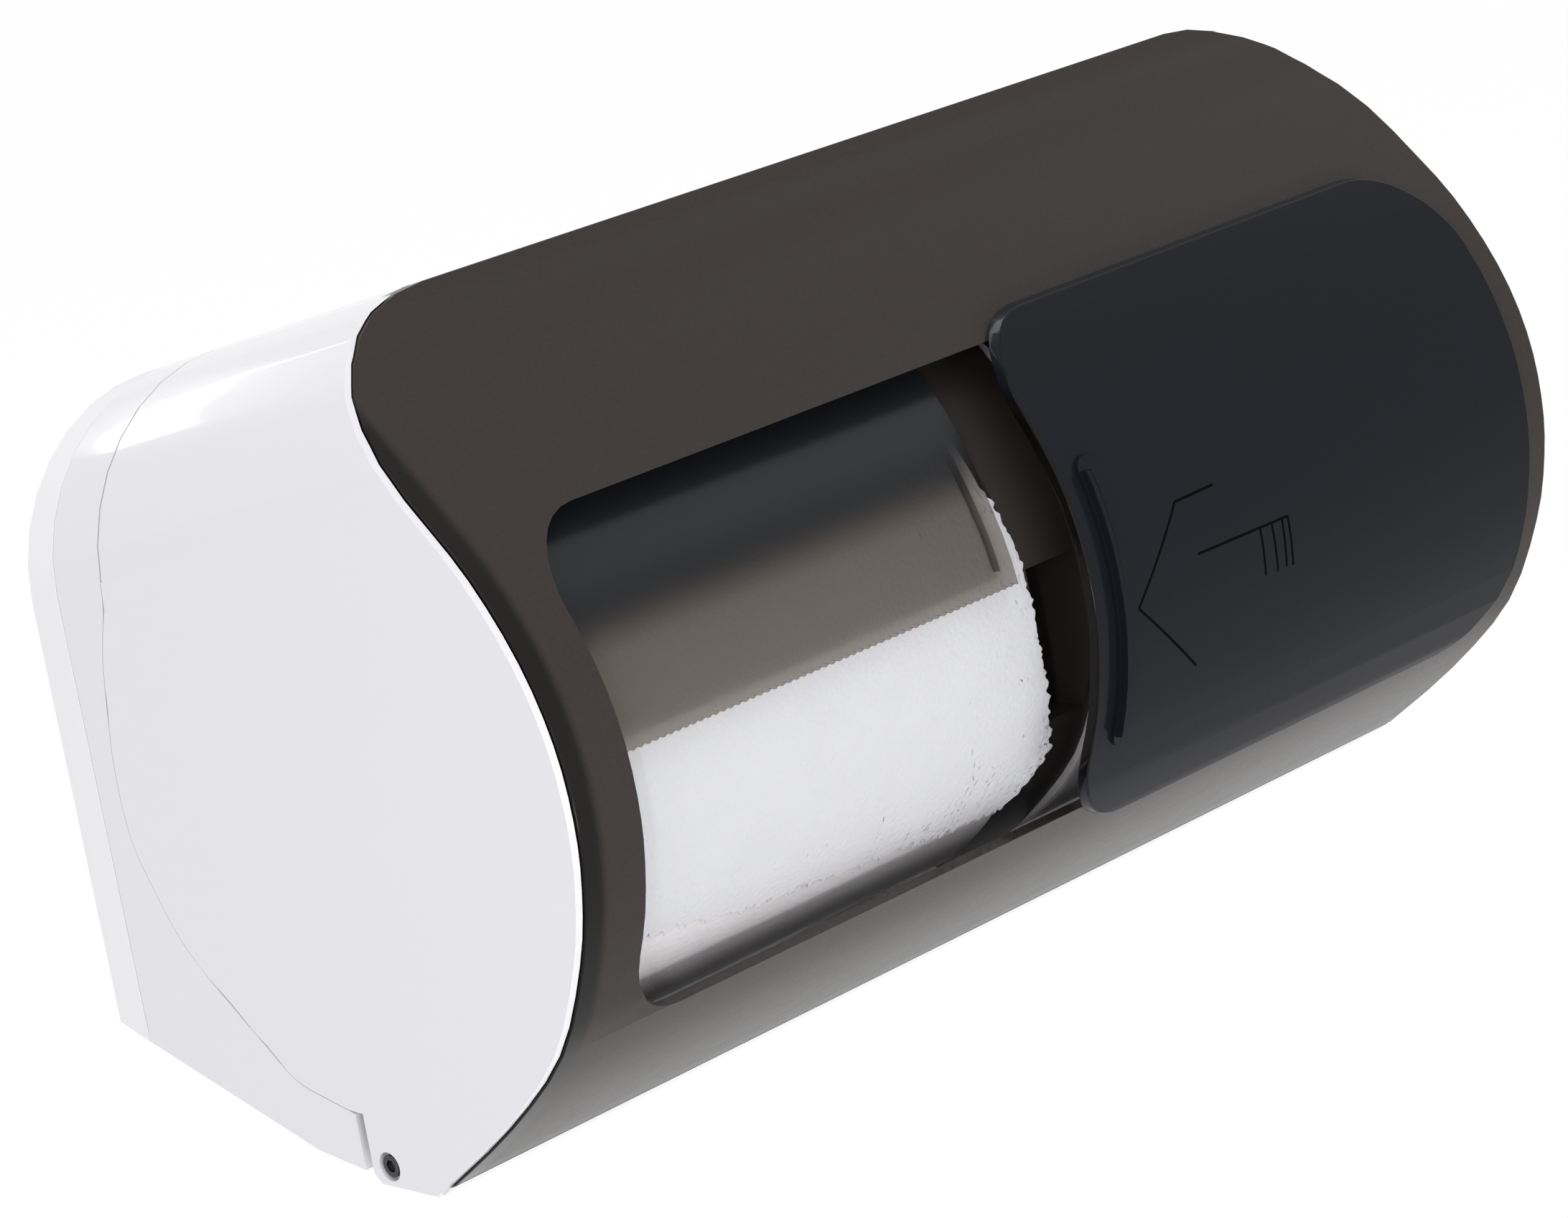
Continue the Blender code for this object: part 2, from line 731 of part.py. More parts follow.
def make_roll_bracket(kit, side, sign):
    """Plate with a foot that holds the outer end of a spindle."""
    inner = bracket_inner()
    nose = arc((roll_depth, roll_rise), bracket_nose_radius, -60, 60, corner_steps)
    start = back_front + seat_gap
    section = nose + [(start, roll_rise + bracket_root_half), (start, roll_rise - bracket_root_half)]
    near = sign * inner
    far = sign * (inner + bracket_thickness)
    bracket = kit.add(side_block(f"{side}_roll_bracket", section, min(near, far), max(near, far)),
                      "white_plastic")
    foot = sign * (inner + bracket_thickness + bracket_foot_width)
    middle = sign * (inner + bracket_thickness / 2)
    kit.join(bracket, box(f"{side}_bracket_foot",
                          (min(middle, foot), start, roll_rise - bracket_root_half),
                          (max(middle, foot), start + bracket_foot_thickness,
                           roll_rise + bracket_root_half)))
    kit.cut(bracket, *journal_slot(f"{side}_bracket", min(near, far) - overrun,
                                   max(near, far) + overrun))
    x = sign * bracket_screw_places()[1][0]
    kit.cut(bracket, rod(f"{side}_bracket_pilot", screw_radius + screw_hole_gap,
                         (x, start - overrun, roll_rise),
                         (x, start + bracket_foot_thickness + overrun, roll_rise), screw_steps))
    return bracket


def make_screw(kit, name, x, depth, rise, length, from_front):
    """Pan-head screw along the depth; its head's seat lies at the given depth."""
    profile = [(0, screw_head_height), (screw_head_radius * 0.7, screw_head_height),
               (screw_head_radius, screw_head_height / 2), (screw_head_radius, 0),
               (screw_radius, 0), (screw_radius, -length + screw_radius),
               (0, -length)]
    screw = turned(name, profile, screw_steps)
    screw.rotation_euler = (math.radians(90 if from_front else -90), 0, 0)
    screw.location = (x, -depth, rise)
    return kit.add(screw, "steel")


def make_screws(kit):
    """Four screws into the wall plate, two behind the post and one behind each bracket."""
    for number, (x, rise) in enumerate(boss_places(), 1):
        make_screw(kit, f"plate_screw_{number}", x, back_front + seat_gap, rise,
                   plate_screw_length, True)
    for number, (x, rise) in enumerate(post_screw_places(), 1):
        make_screw(kit, f"post_screw_{number}", x, back_rear - seat_gap, rise,
                   post_screw_length, False)
    for side, (x, rise) in zip(("left", "right"), bracket_screw_places()):
        make_screw(kit, f"{side}_bracket_screw", x, back_rear - seat_gap, rise,
                   wall + seat_gap * 2 + bracket_foot_thickness, False)


def cover_section(front_offset, gap):
    """Side section of the cover between the seam and a line behind the front."""
    line = front_line(front_offset)
    front = [point for point in line if point[1] > 0] + [(crossing(line, 0), 0)]
    ear = wing_front + notch_width
    seam = [point for point in seam_line(gap) if point[0] < ear and point[1] > pin_rise]
    above = [(seam[0][0], body_height * 2), (front[0][0], body_height * 2)]
    return (front + [(ear + ear_chamfer, 0), (ear, ear_chamfer), (ear, seam[-1][1])]
            + seam[::-1] + above)


def make_cover_shell(kit):
    """White cover: end walls, top, a narrow front flange, the lower lip and the hinge ears."""
    behind = -panel_thickness - seat_gap
    cover = kit.add(body_block("cover_shell", 0, back_front, body_depth, -overrun, 0),
                    "white_plastic", kit.hinge)
    kit.keep(cover, side_block("cover_section", cover_section(-cover_edge_back, seam_gap),
                               -half_length - overrun, half_length + overrun))
    seat = side_block("panel_seat", strip(lip_height, body_height + overrun * 2, behind, overrun),
                      -half_length - overrun, half_length + overrun)
    kit.keep(seat, panel_block("panel_seat_outline", -seat_gap))
    kit.cut(cover, seat)
    hollow = body_block("cover_hollow", wall, back_rear - overrun, body_depth, -overrun, 0)
    edge_back = -panel_edge_depth - seat_gap
    inner_line = front_line(edge_back - wall)
    inner_low = lip_height + wall
    inside = [point for point in inner_line if point[1] > inner_low]
    inside.append((crossing(inner_line, inner_low), inner_low))
    inner = inside + [(lip_wall_start, inner_low), (lip_wall_start, -overrun * 2),
                      (-overrun, -overrun * 2), (-overrun, inside[0][1])]
    kit.work(hollow, side_block("hollow_section", inner, -half_length, half_length), "INTERSECT")
    kit.cut(cover, hollow)
    step = side_block("panel_edge_step", strip(lip_height, body_height + overrun * 2, edge_back,
                                               overrun),
                      -half_length - overrun, half_length + overrun)
    kit.keep(step, panel_block("panel_edge_outline", -seat_gap))
    kit.cut(step, panel_block("panel_edge_inside", panel_edge_width + seat_gap))
    kit.cut(cover, step)
    side = half_length - wall - flange_width
    kit.cut(cover, face_block("cover_front_opening",
                              rounded_rectangle(-side, side, opening_bottom, opening_top,
                                                window_radius), pin_depth, body_depth + overrun))
    kit.join(cover, side_block("lower_lip", lip_section(), -half_length + wall / 2,
                               half_length - wall / 2))
    for name, sign in (("left", -1), ("right", 1)):
        inner_face = sign * (half_length - wall - ear_boss_height)
        kit.join(cover, rod(f"{name}_ear_boss", ear_boss_radius,
                            (inner_face, pin_depth, ear_boss_radius),
                            (sign * (half_length - wall / 2), pin_depth, ear_boss_radius)))
        kit.cut(cover,
                rod(f"{name}_ear_bore", pin_radius + pin_gap,
                    (inner_face - sign * overrun, pin_depth, pin_rise),
                    (sign * (half_length + overrun), pin_depth, pin_rise), screw_steps),
                rod(f"{name}_ear_recess", pin_recess_radius,
                    (sign * (half_length - pin_recess_depth), pin_depth, pin_rise),
                    (sign * (half_length + overrun), pin_depth, pin_rise)))
    kit.join(cover, lock_rod("lock_boss", lock_boss_radius, -wall - lock_boss_height, -wall / 2))
    kit.cut(cover,
            lock_rod("lock_hole", lock_radius + seat_gap, -overrun * 2, overrun),
            lock_rod("lock_recess", lock_flange_radius + seat_gap, -lock_flange_height - seat_gap,
                     overrun))
    return cover


def lip_section():
    """Side section of the lip that shows below the front panel."""
    reach = crossing(front_line(), lip_height)
    return [(lip_wall_start, 0), (crossing(front_line(), 0), 0), (reach, lip_height),
            (lip_wall_start, lip_height)]


def lock_rod(name, radius, low, high):
    """A cylinder on the lock's axis between two heights above the cover's top."""
    thing = rod(name, radius, (0, 0, low), (0, 0, high))
    matrix = Matrix.Translation(lock_point) @ Matrix.Rotation(lock_tilt, 4, "X")
    thing.data.transform(matrix)
    return thing


def make_front_panel(kit):
    """Smoked front with the S-shaped section, a deep rounded edge all round and a long window."""
    low = lip_height + seat_gap
    high = body_height + overrun * 2
    spare = panel_edge_depth + panel_rim * 2
    panel = kit.add(side_block("front_panel", strip(low, high, -spare, 0),
                               -half_length - overrun, half_length + overrun),
                    "smoked_plastic", kit.hinge)
    kit.keep(panel, panel_block("panel_outline", 0))
    kit.round_edges(panel, panel_rim, 3)
    kit.cut(panel, side_block("panel_back", strip(-overrun, high + overrun, -spare - overrun,
                                                  -panel_edge_depth),
                              -half_length - overrun, half_length + overrun))
    pocket = side_block("panel_pocket", strip(-overrun, high + overrun, -spare,
                                              -panel_thickness),
                        -half_length, half_length)
    kit.keep(pocket, panel_block("panel_inside", panel_edge_width))
    kit.cut(panel, pocket)
    kit.cut(panel, face_block("panel_window",
                              rounded_rectangle(-window_half, window_half, window_low,
                                                window_high, window_radius),
                              pin_depth, body_depth + overrun))
    kit.round_edges(panel, window_rim, 1)
    return panel


def make_sliding_door(kit):
    """Door in front of the panel, with round corners, a rib to pull and a pad for the finger."""
    outer = door_gap + door_thickness
    middle = door_gap + door_thickness / 2
    door = kit.add(side_block("sliding_door", strip(door_low - overrun, door_high + overrun,
                                                    door_gap, outer),
                              door_left - overrun, door_right + overrun),
                   "door_plastic", kit.door)
    kit.keep(door, face_block("door_outline",
                              rounded_rectangle(door_left, door_right, door_low, door_high,
                                                door_radius),
                              pin_depth, body_depth + outer + overrun))
    kit.round_edges(door, door_rim)
    pad = side_block("grip_pad", strip(grip_low - overrun, grip_high + overrun, middle,
                                       outer + grip_pad_height),
                     grip_left - overrun, grip_right + overrun)
    kit.keep(pad, face_block("grip_outline",
                             rounded_rectangle(grip_left, grip_right, grip_low, grip_high,
                                               grip_end_radius),
                             pin_depth, body_depth + outer + overrun))
    kit.join(door, pad)
    rib_left = grip_left + grip_rib_inset
    rib_right = rib_left + grip_rib_width
    low = grip_low + grip_end_radius
    high = grip_high - grip_end_radius
    kit.cut(door, side_block("grip_groove", strip(low, high, outer - grip_groove_depth,
                                                  outer + overrun),
                             rib_right - seat_gap / 2, rib_right + grip_groove_width))
    kit.join(door, side_block("grip_rib", strip(low - seat_gap, high + seat_gap, middle,
                                                outer + grip_rib_height),
                              rib_left, rib_right))
    return door


def make_runner(kit, name, low, high, lip_low, lip_high):
    """Hook behind the door that passes through the window and holds the panel's edge."""
    back = -panel_thickness - door_gap - runner_thickness
    start = door_left + runner_inset
    end = door_right - runner_inset
    runner = kit.add(side_block(name, strip(low, high, back, door_gap - seat_gap), start, end),
                     "black_plastic", kit.door)
    kit.join(runner, side_block(f"{name}_lip", strip(lip_low, lip_high, back,
                                                     -panel_thickness - door_gap), start, end))
    return runner


def make_runners(kit):
    """Upper and lower door runners."""
    high = window_high - runner_edge_gap
    make_runner(kit, "upper_door_runner", high - runner_leg, high, high - runner_leg,
                window_high + runner_lip_height)
    low = window_low + runner_edge_gap
    make_runner(kit, "lower_door_runner", low, low + runner_leg,
                window_low - runner_lip_height, low + runner_leg)


def guard_section():
    """Side section of a tear guard: flange on the panel, leg, and an arc round the roll."""
    centre = (roll_depth, roll_rise)
    inner = arc(centre, guard_radius, guard_low_angle, guard_turn_angle, guard_steps)
    outer = arc(centre, guard_radius + guard_thickness, guard_high_angle, guard_low_angle,
                guard_steps)
    face = -panel_thickness - seat_gap
    front = stretch(front_line(face), guard_flange_low, guard_flange_high)
    back = stretch(front_line(face - guard_thickness), guard_flange_low + guard_fillet,
                   guard_flange_high)
    return inner + back[::-1] + front + outer


def cheek_section():
    """Side section of the cheek that closes a guard's inner end."""
    centre = (roll_depth, roll_rise)
    return (arc(centre, cheek_radius, cheek_low_angle, cheek_high_angle, guard_steps)
            + arc(centre, guard_radius + guard_thickness / 2, cheek_high_angle,
                  cheek_low_angle, guard_steps))


def make_tear_guard(kit, side, x_low, x_high):
    """Smoked guard over the upper front of a roll, with a toothed edge and an end cheek."""
    guard = kit.add(side_block(f"{side}_tear_guard", guard_section(), x_low, x_high),
                    "smoked_plastic", kit.hinge)
    start = x_high - guard_thickness - seat_gap if x_high < 0 else x_low + seat_gap
    kit.join(guard, side_block(f"{side}_guard_cheek", cheek_section(), start,
                               start + guard_thickness))
    low = math.radians(guard_low_angle)
    middle = guard_radius + guard_thickness / 2
    edge_depth = roll_depth + middle * math.cos(low)
    edge_rise = roll_rise + middle * math.sin(low)
    count = int((x_high - x_low) / tooth_pitch)
    pitch = (x_high - x_low) / count
    notches = [(x_low, edge_rise - overrun)]
    for tooth in range(count):
        start = x_low + tooth * pitch
        notches += [(start, edge_rise), (start + pitch / 2, edge_rise + tooth_height)]
    notches += [(x_high, edge_rise), (x_high, edge_rise - overrun)]
    kit.cut(guard, face_block(f"{side}_guard_teeth", notches, edge_depth - overrun,
                              edge_depth + overrun))
    return guard


def make_hinge_pin(kit, side, sign):
    """Metal pin with a head in the ear's recess, held by the housing's tongue."""
    seat = pin_recess_depth - seat_gap
    tongue_inner = wall + ear_boss_height + seat_gap + tongue_thickness
    length = tongue_inner - seat + pin_head_height
    profile = [(0, pin_head_height), (pin_head_radius, pin_head_height), (pin_head_radius, 0),
               (pin_radius, 0), (pin_radius, -length), (0, -length)]
    pin = turned(f"{side}_hinge_pin", profile, screw_steps)
    pin.rotation_euler = (0, math.radians(90 * sign), 0)
    pin.location = (sign * (half_length - seat), -pin_depth, pin_rise)
    kit.add(pin, "steel")
    kit.cut(pin, rod(f"{side}_pin_socket", pin_socket_radius,
                     (0, 0, pin_head_height - pin_socket_depth),
                     (0, 0, pin_head_height + overrun), pin_socket_sides))
    return pin


def make_roll(kit, side, sign, axle):
    """Paper, core and spindle of one roll, which turn together."""
    ring = roll_width / 2
    bore = core_radius + seat_gap
    paper = turned(f"{side}_paper_roll", [(bore, ring), (roll_radius, ring),
                                          (roll_radius, -ring), (bore, -ring)], round_steps * 2)
    inside = core_radius - core_thickness
    core = turned(f"{side}_core", [(inside, ring), (core_radius, ring), (core_radius, -ring),
                                   (inside, -ring)])
    spindle = make_spindle(side)
    for thing, finish in ((paper, "paper"), (core, "card"), (spindle, "black_plastic")):
        thing.rotation_euler = (0, math.radians(90 * sign), 0)
        thing.location = Vector(axle["bench"])
        kit.add(thing, finish, axle)


def make_spindle(side):
    """Turned spindle: journals at both ends and two flanges that carry the core."""
    shoulder = roll_width / 2
    outer_end = shoulder + bracket_gap + bracket_thickness
    inner_end = roll_centre_x - journal_inner_end
    flange = core_radius - core_thickness - seat_gap
    start = shoulder - spindle_flange_inset
    half = [(spindle_radius, start - spindle_flange_width), (flange, start - spindle_flange_width),
            (flange, start), (spindle_radius, start), (spindle_radius, shoulder),
            (journal_radius, shoulder)]
    top = [(0, outer_end), (journal_radius, outer_end)] + half[::-1]
    bottom = [(radius, -height) for radius, height in half]
    return turned(f"{side}_spindle", top + bottom + [(journal_radius, -inner_end),
                                                     (0, -inner_end)])


def make_lock(kit):
    """Cam lock flush in the cover's top: fixed body and nut, turning plug, cam and cam screw."""
    bore = lock_plug_radius + seat_gap
    body = turned("lock_body", [(bore, 0), (lock_flange_radius, 0),
                                (lock_flange_radius, -lock_flange_height),
                                (lock_radius, -lock_flange_height),
                                (lock_radius, -lock_length), (bore, -lock_length)])
    nut_top = -wall - lock_boss_height - seat_gap
    nut_bottom = nut_top - lock_nut_height
    nut = turned("lock_nut", [(lock_radius + seat_gap, nut_top), (lock_nut_radius, nut_top),
                              (lock_nut_radius, nut_bottom),
                              (lock_radius + seat_gap, nut_bottom)])
    plug = turned("lock_plug", [(0, 0), (lock_plug_radius, 0), (lock_plug_radius, -lock_length),
                                (0, -lock_length)])
    outline = (arc((0, 0), cam_half, 180, 360, corner_steps)
               + arc((0, cam_length - cam_half), cam_half, 0, 180, corner_steps))
    flat = Matrix.Translation((0, 0, cam_top - cam_thickness / 2))
    cam = bpy.data.objects.new("lock_cam", outline_mesh(outline, cam_thickness, flat))
    seat = cam_top - cam_thickness - seat_gap
    tip = -lock_length / 2 - seat_gap
    screw = turned("cam_screw", [(0, tip), (screw_radius, tip), (screw_radius, seat),
                                 (screw_head_radius, seat),
                                 (screw_head_radius, seat - screw_head_height),
                                 (0, seat - screw_head_height)], screw_steps)
    for thing, parent in ((body, kit.lock_seat), (nut, kit.lock_seat), (plug, kit.lock),
                          (cam, kit.lock), (screw, kit.lock)):
        kit.add(thing, "steel", parent)
        thing.location = (0, 0, 0)
    hole = screw_radius + screw_hole_gap
    kit.cut(plug,
            box("key_slot", (-key_slot_length / 2, -key_slot_width / 2, -key_slot_depth),
                (key_slot_length / 2, key_slot_width / 2, overrun)),
            rod("plug_bore", hole, (0, 0, -lock_length - overrun), (0, 0, -lock_length / 2),
                screw_steps))
    kit.cut(cam, rod("cam_bore", hole, (0, 0, cam_top - overrun), (0, 0, cam_top + overrun),
                     screw_steps))


def main():
    """Build the whole dispenser."""
    clear_scene()
    kit = Assembly()
    kit.hinge = kit.empty("cover_hinge_axis", hinge_point, kit.root)
    kit.door = kit.empty("door_slide_axis", Vector((0, 0, 0)), kit.root)
    kit.lock_seat = kit.empty("lock_seat", lock_point, kit.root, lock_tilt)
    kit.lock = kit.empty("lock_axis", lock_point, kit.root, lock_tilt)
    make_wall_plate(kit)
    make_rear_housing(kit)
    make_centre_post(kit)
    for side, sign in (("left", -1), ("right", 1)):
        make_roll_bracket(kit, side, sign)
        make_hinge_pin(kit, side, sign)
        centre = Vector((sign * roll_centre_x, -roll_depth, roll_rise))
        axle = kit.empty(f"{side}_roll_axis", centre, kit.root)
        make_roll(kit, side, sign, axle)
    make_screws(kit)
    make_cover_shell(kit)
    make_front_panel(kit)
    make_tear_guard(kit, "left", -guard_left, -guard_right)
    make_tear_guard(kit, "right", guard_right, guard_left)
    make_sliding_door(kit)
    make_runners(kit)
    make_lock(kit)
    bpy.context.view_layer.update()


main()
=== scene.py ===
# %% [markdown]
# # A double roll toilet paper dispenser
#
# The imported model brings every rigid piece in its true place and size, in metres, with the wall
# plate's back face at the origin and the user on the -Y side. This lesson gives the pieces their
# plastics, paper and metal, adds what is too fine for the solids, and lights the result as a
# studio product picture.

import json
import math

import bmesh
import bpy
from mathutils import Matrix, Vector, noise
from mathutils.bvhtree import BVHTree


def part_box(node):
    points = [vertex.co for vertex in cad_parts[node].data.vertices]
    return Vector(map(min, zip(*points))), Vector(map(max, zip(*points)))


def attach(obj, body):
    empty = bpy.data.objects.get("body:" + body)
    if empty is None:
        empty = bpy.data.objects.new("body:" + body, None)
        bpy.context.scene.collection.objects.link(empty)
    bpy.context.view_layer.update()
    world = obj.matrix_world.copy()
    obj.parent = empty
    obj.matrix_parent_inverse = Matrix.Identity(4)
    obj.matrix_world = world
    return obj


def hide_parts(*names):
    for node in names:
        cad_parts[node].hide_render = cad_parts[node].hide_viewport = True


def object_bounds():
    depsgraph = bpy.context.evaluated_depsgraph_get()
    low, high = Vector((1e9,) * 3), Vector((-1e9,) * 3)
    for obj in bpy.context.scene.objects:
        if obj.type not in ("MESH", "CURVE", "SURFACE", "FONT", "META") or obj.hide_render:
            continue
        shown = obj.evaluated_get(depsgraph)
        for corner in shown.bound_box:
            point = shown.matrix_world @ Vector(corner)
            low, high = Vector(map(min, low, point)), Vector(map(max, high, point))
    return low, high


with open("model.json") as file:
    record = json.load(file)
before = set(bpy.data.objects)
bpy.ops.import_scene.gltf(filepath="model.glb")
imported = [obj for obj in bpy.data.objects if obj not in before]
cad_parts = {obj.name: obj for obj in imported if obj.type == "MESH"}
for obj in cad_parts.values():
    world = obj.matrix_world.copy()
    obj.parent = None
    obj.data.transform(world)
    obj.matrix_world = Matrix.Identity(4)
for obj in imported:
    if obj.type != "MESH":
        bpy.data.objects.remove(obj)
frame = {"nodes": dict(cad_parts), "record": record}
nodes = frame["nodes"]
cad_low, cad_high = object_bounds()

# %% [markdown]
# ## Camera
#
# The picture was taken from the front left and a little above, with a long lens, and the camera
# was rolled so that the long body runs uphill. The camera's own right, down and ahead directions
# are written as rows, which is how a fitted camera comes out, and turned into Blender's columns of
# right, up and back.

# %% Camera
image_width = 2184
sensor_width = 36.0
focal_pixels = 6869.06
camera_place = Vector((-0.70443, -0.82859, 0.25502))
camera_right = Vector((0.697583, -0.697705, -0.163051))
camera_down = Vector((-0.291881, -0.068891, -0.953970))

camera_data = bpy.data.cameras.new("product_camera")
camera_data.sensor_width = sensor_width
camera_data.lens = focal_pixels * sensor_width / image_width
camera = bpy.data.objects.new("product_camera", camera_data)
bpy.context.scene.collection.objects.link(camera)
camera_right.normalize()
camera_up = -(camera_down - camera_right * camera_down.dot(camera_right)).normalized()
camera_back = camera_right.cross(camera_up)
turn = Matrix((camera_right, camera_up, camera_back)).transposed().to_4x4()
camera.matrix_world = Matrix.Translation(camera_place) @ turn
bpy.context.scene.camera = camera
print("lens", round(camera_data.lens, 1), "mm")

# %% [markdown]
# ## Node helpers
#
# Every finish is a small node tree. These helpers add a node, set its sockets and link them, so
# that a finish reads as a list of what it is made of.


# %% Node helpers
def start_material(name, colour, roughness, metallic=0.0):
    """A material with a Principled shader set to plain values."""
    material = bpy.data.materials.new(name)
    material.use_nodes = True
    tree = material.node_tree
    shader = tree.nodes["Principled BSDF"]
    shader.inputs["Base Color"].default_value = (*colour, 1)
    shader.inputs["Roughness"].default_value = roughness
    shader.inputs["Metallic"].default_value = metallic
    return material, tree, shader


def add_node(tree, kind, **values):
    """A node of one kind, with its sockets or properties set by name."""
    node = tree.nodes.new(kind)
    for key, value in values.items():
        if key in node.inputs:
            node.inputs[key].default_value = value
        else:
            setattr(node, key, value)
    return node


def object_noise(tree, scale, detail=4.0, stretch=(1, 1, 1)):
    """Noise in the piece's own coordinates, in metres times scale, stretched along an axis."""
    place = add_node(tree, "ShaderNodeTexCoord")
    mapping = add_node(tree, "ShaderNodeMapping", Scale=stretch)
    noise = add_node(tree, "ShaderNodeTexNoise", Scale=scale, Detail=detail)
    tree.links.new(place.outputs["Object"], mapping.inputs["Vector"])
    tree.links.new(mapping.outputs["Vector"], noise.inputs["Vector"])
    return noise.outputs["Fac"]


def vary(tree, fac, target, low, high):
    """Drive a shader socket between two values by a pattern."""
    spread = add_node(tree, "ShaderNodeMapRange")
    spread.inputs["To Min"].default_value = low
    spread.inputs["To Max"].default_value = high
    tree.links.new(fac, spread.inputs["Value"])
    tree.links.new(spread.outputs["Result"], target)


def tint(tree, fac, shader, colour_a, colour_b):
    """Mix two close colours by a pattern into the base colour."""
    ramp = add_node(tree, "ShaderNodeValToRGB")
    ramp.color_ramp.elements[0].color = (*colour_a, 1)
    ramp.color_ramp.elements[1].color = (*colour_b, 1)
    tree.links.new(fac, ramp.inputs["Fac"])
    tree.links.new(ramp.outputs["Color"], shader.inputs["Base Color"])


def emboss(tree, fac, shader, distance, strength=1.0):
    """Bump from a pattern, with its depth in metres."""
    bump = add_node(tree, "ShaderNodeBump", Distance=distance, Strength=strength)
    tree.links.new(fac, bump.inputs["Height"])
    tree.links.new(bump.outputs["Normal"], shader.inputs["Normal"])
    return bump


print("helpers:", start_material.__name__, add_node.__name__, object_noise.__name__,
      vary.__name__, tint.__name__, emboss.__name__)

# %% [markdown]
# ## Plastics
#
# The case is injection moulded. The white parts are polished, the wall plate has a fine spark
# grain, and the front is a smoked grade that is nearly opaque at its full thickness. Polished
# plastic is never perfectly flat: a slow, shallow waviness bends its reflections a little. Dark
# plastic keeps its depth only if its shine is modest, so the shine is set for each grade.

# %% Plastics
gloss_scale = 260.0
coat_roughness = 0.04
face_coat = 0.10


def moulded(name, colours, rough, grain, depth, shine=0.5, coat=0.0, fleck=9.0):
    """Moulded plastic with two close colours, uneven gloss and a fine or slow surface."""
    material, tree, shader = start_material(name, colours[0], rough[0])
    tint(tree, object_noise(tree, fleck), shader, *colours)
    vary(tree, object_noise(tree, gloss_scale, 6.0), shader.inputs["Roughness"], *rough)
    emboss(tree, object_noise(tree, grain, 3.0), shader, depth)
    shader.inputs["Specular IOR Level"].default_value = shine
    shader.inputs["Coat Weight"].default_value = coat
    shader.inputs["Coat Roughness"].default_value = coat_roughness
    return material


white_gloss = moulded(
    "white_gloss", ((0.776, 0.768, 0.802), (0.792, 0.784, 0.817)), (0.16, 0.22),
    grain=14.0, depth=0.00010, coat=0.6)
plate_grey = moulded(
    "plate_grey", ((0.865, 0.862, 0.878), (0.890, 0.886, 0.902)), (0.50, 0.62),
    grain=2600.0, depth=0.00003)
smoked_front = moulded(
    "smoked_front", ((0.0310, 0.0255, 0.0232), (0.0450, 0.0380, 0.0350)), (0.24, 0.30),
    grain=2600.0, depth=0.000004, shine=0.06, coat=face_coat, fleck=1500.0)
door_dark = moulded(
    "door_dark", ((0.0078, 0.0086, 0.0120), (0.0112, 0.0122, 0.0160)), (0.20, 0.26),
    grain=2600.0, depth=0.000004, shine=0.03, coat=face_coat, fleck=1500.0)
post_dark = moulded(
    "post_dark", ((0.032, 0.027, 0.025), (0.038, 0.033, 0.030)), (0.38, 0.50),
    grain=1800.0, depth=0.00002, shine=0.3)
spindle_dark = moulded(
    "spindle_dark", ((0.018, 0.018, 0.019), (0.024, 0.024, 0.025)), (0.35, 0.45),
    grain=1500.0, depth=0.00002, shine=0.4)
plastics = (white_gloss, plate_grey, smoked_front, door_dark, post_dark, spindle_dark)
print("plastics:", [material.name for material in plastics])

# %% [markdown]
# The left rims of the panel and the door carry painted shade: the colour falls to almost black
# there, over a few millimetres of the piece's own length axis, and the rim is a little glossier
# than the face.

# %% Painted rim shade
# Painted shade: the almost black colour that the left rims fall to.
rim_shade_colour = (0.004, 0.003, 0.0025, 1)
rim_coat = 0.25
panel_shade_span = (0.0055, 0.0085)
door_shade_span = (0.0001, 0.0016)


def paint_rim_shade(material, left_end, span):
    """Painted shade, almost black, and more gloss at a piece's left rim, by its own length axis.
    """
    tree = material.node_tree
    shader = tree.nodes["Principled BSDF"]
    face_colour = shader.inputs["Base Color"].links[0].from_socket
    place = add_node(tree, "ShaderNodeTexCoord")
    split = add_node(tree, "ShaderNodeSeparateXYZ")
    # The mask of the painted rim shade: 0 at the rim, 1 on the face.
    reach = add_node(tree, "ShaderNodeMapRange", interpolation_type="SMOOTHSTEP")
    reach.inputs["From Min"].default_value = left_end + span[0]
    reach.inputs["From Max"].default_value = left_end + span[1]
    rim_shade_mix = add_node(tree, "ShaderNodeMix", data_type="RGBA")
    rim_shade_mix.inputs["A"].default_value = rim_shade_colour
    tree.links.new(place.outputs["Object"], split.inputs["Vector"])
    tree.links.new(split.outputs["X"], reach.inputs["Value"])
    tree.links.new(reach.outputs["Result"], rim_shade_mix.inputs["Factor"])
    tree.links.new(face_colour, rim_shade_mix.inputs["B"])
    tree.links.new(rim_shade_mix.outputs["Result"], shader.inputs["Base Color"])
    vary(tree, reach.outputs["Result"], shader.inputs["Coat Weight"], rim_coat, face_coat)


paint_rim_shade(smoked_front, cad_low[0], panel_shade_span)
paint_rim_shade(door_dark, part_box("sliding_door")[0][0], door_shade_span)
print("dark rims on", smoked_front.name, "and", door_dark.name)

# %% [markdown]
# ## Smoked guard
#
# The tear guards are the same smoked grade as the front but thin, so the white paper close behind
# them shows through as a warm grey. Their upper part carries painted shade and passes almost
# nothing: a graded mix of a clear and a dark glossy shader, where the grade follows the height,
# measured in the piece's own coordinates.

# %% Smoked guard
roll_low, roll_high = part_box("left_paper_roll")
roll_radius = (roll_high[2] - roll_low[2]) / 2
roll_axis = Vector((0, (roll_low[1] + roll_high[1]) / 2, (roll_low[2] + roll_high[2]) / 2))
shade_grade_start = roll_axis.z + 0.026
shade_grade_end = roll_axis.z + 0.043
guard_colour = (0.012, 0.014, 0.017)
shade_share_below = 0.13
shade_share_above = 0.97

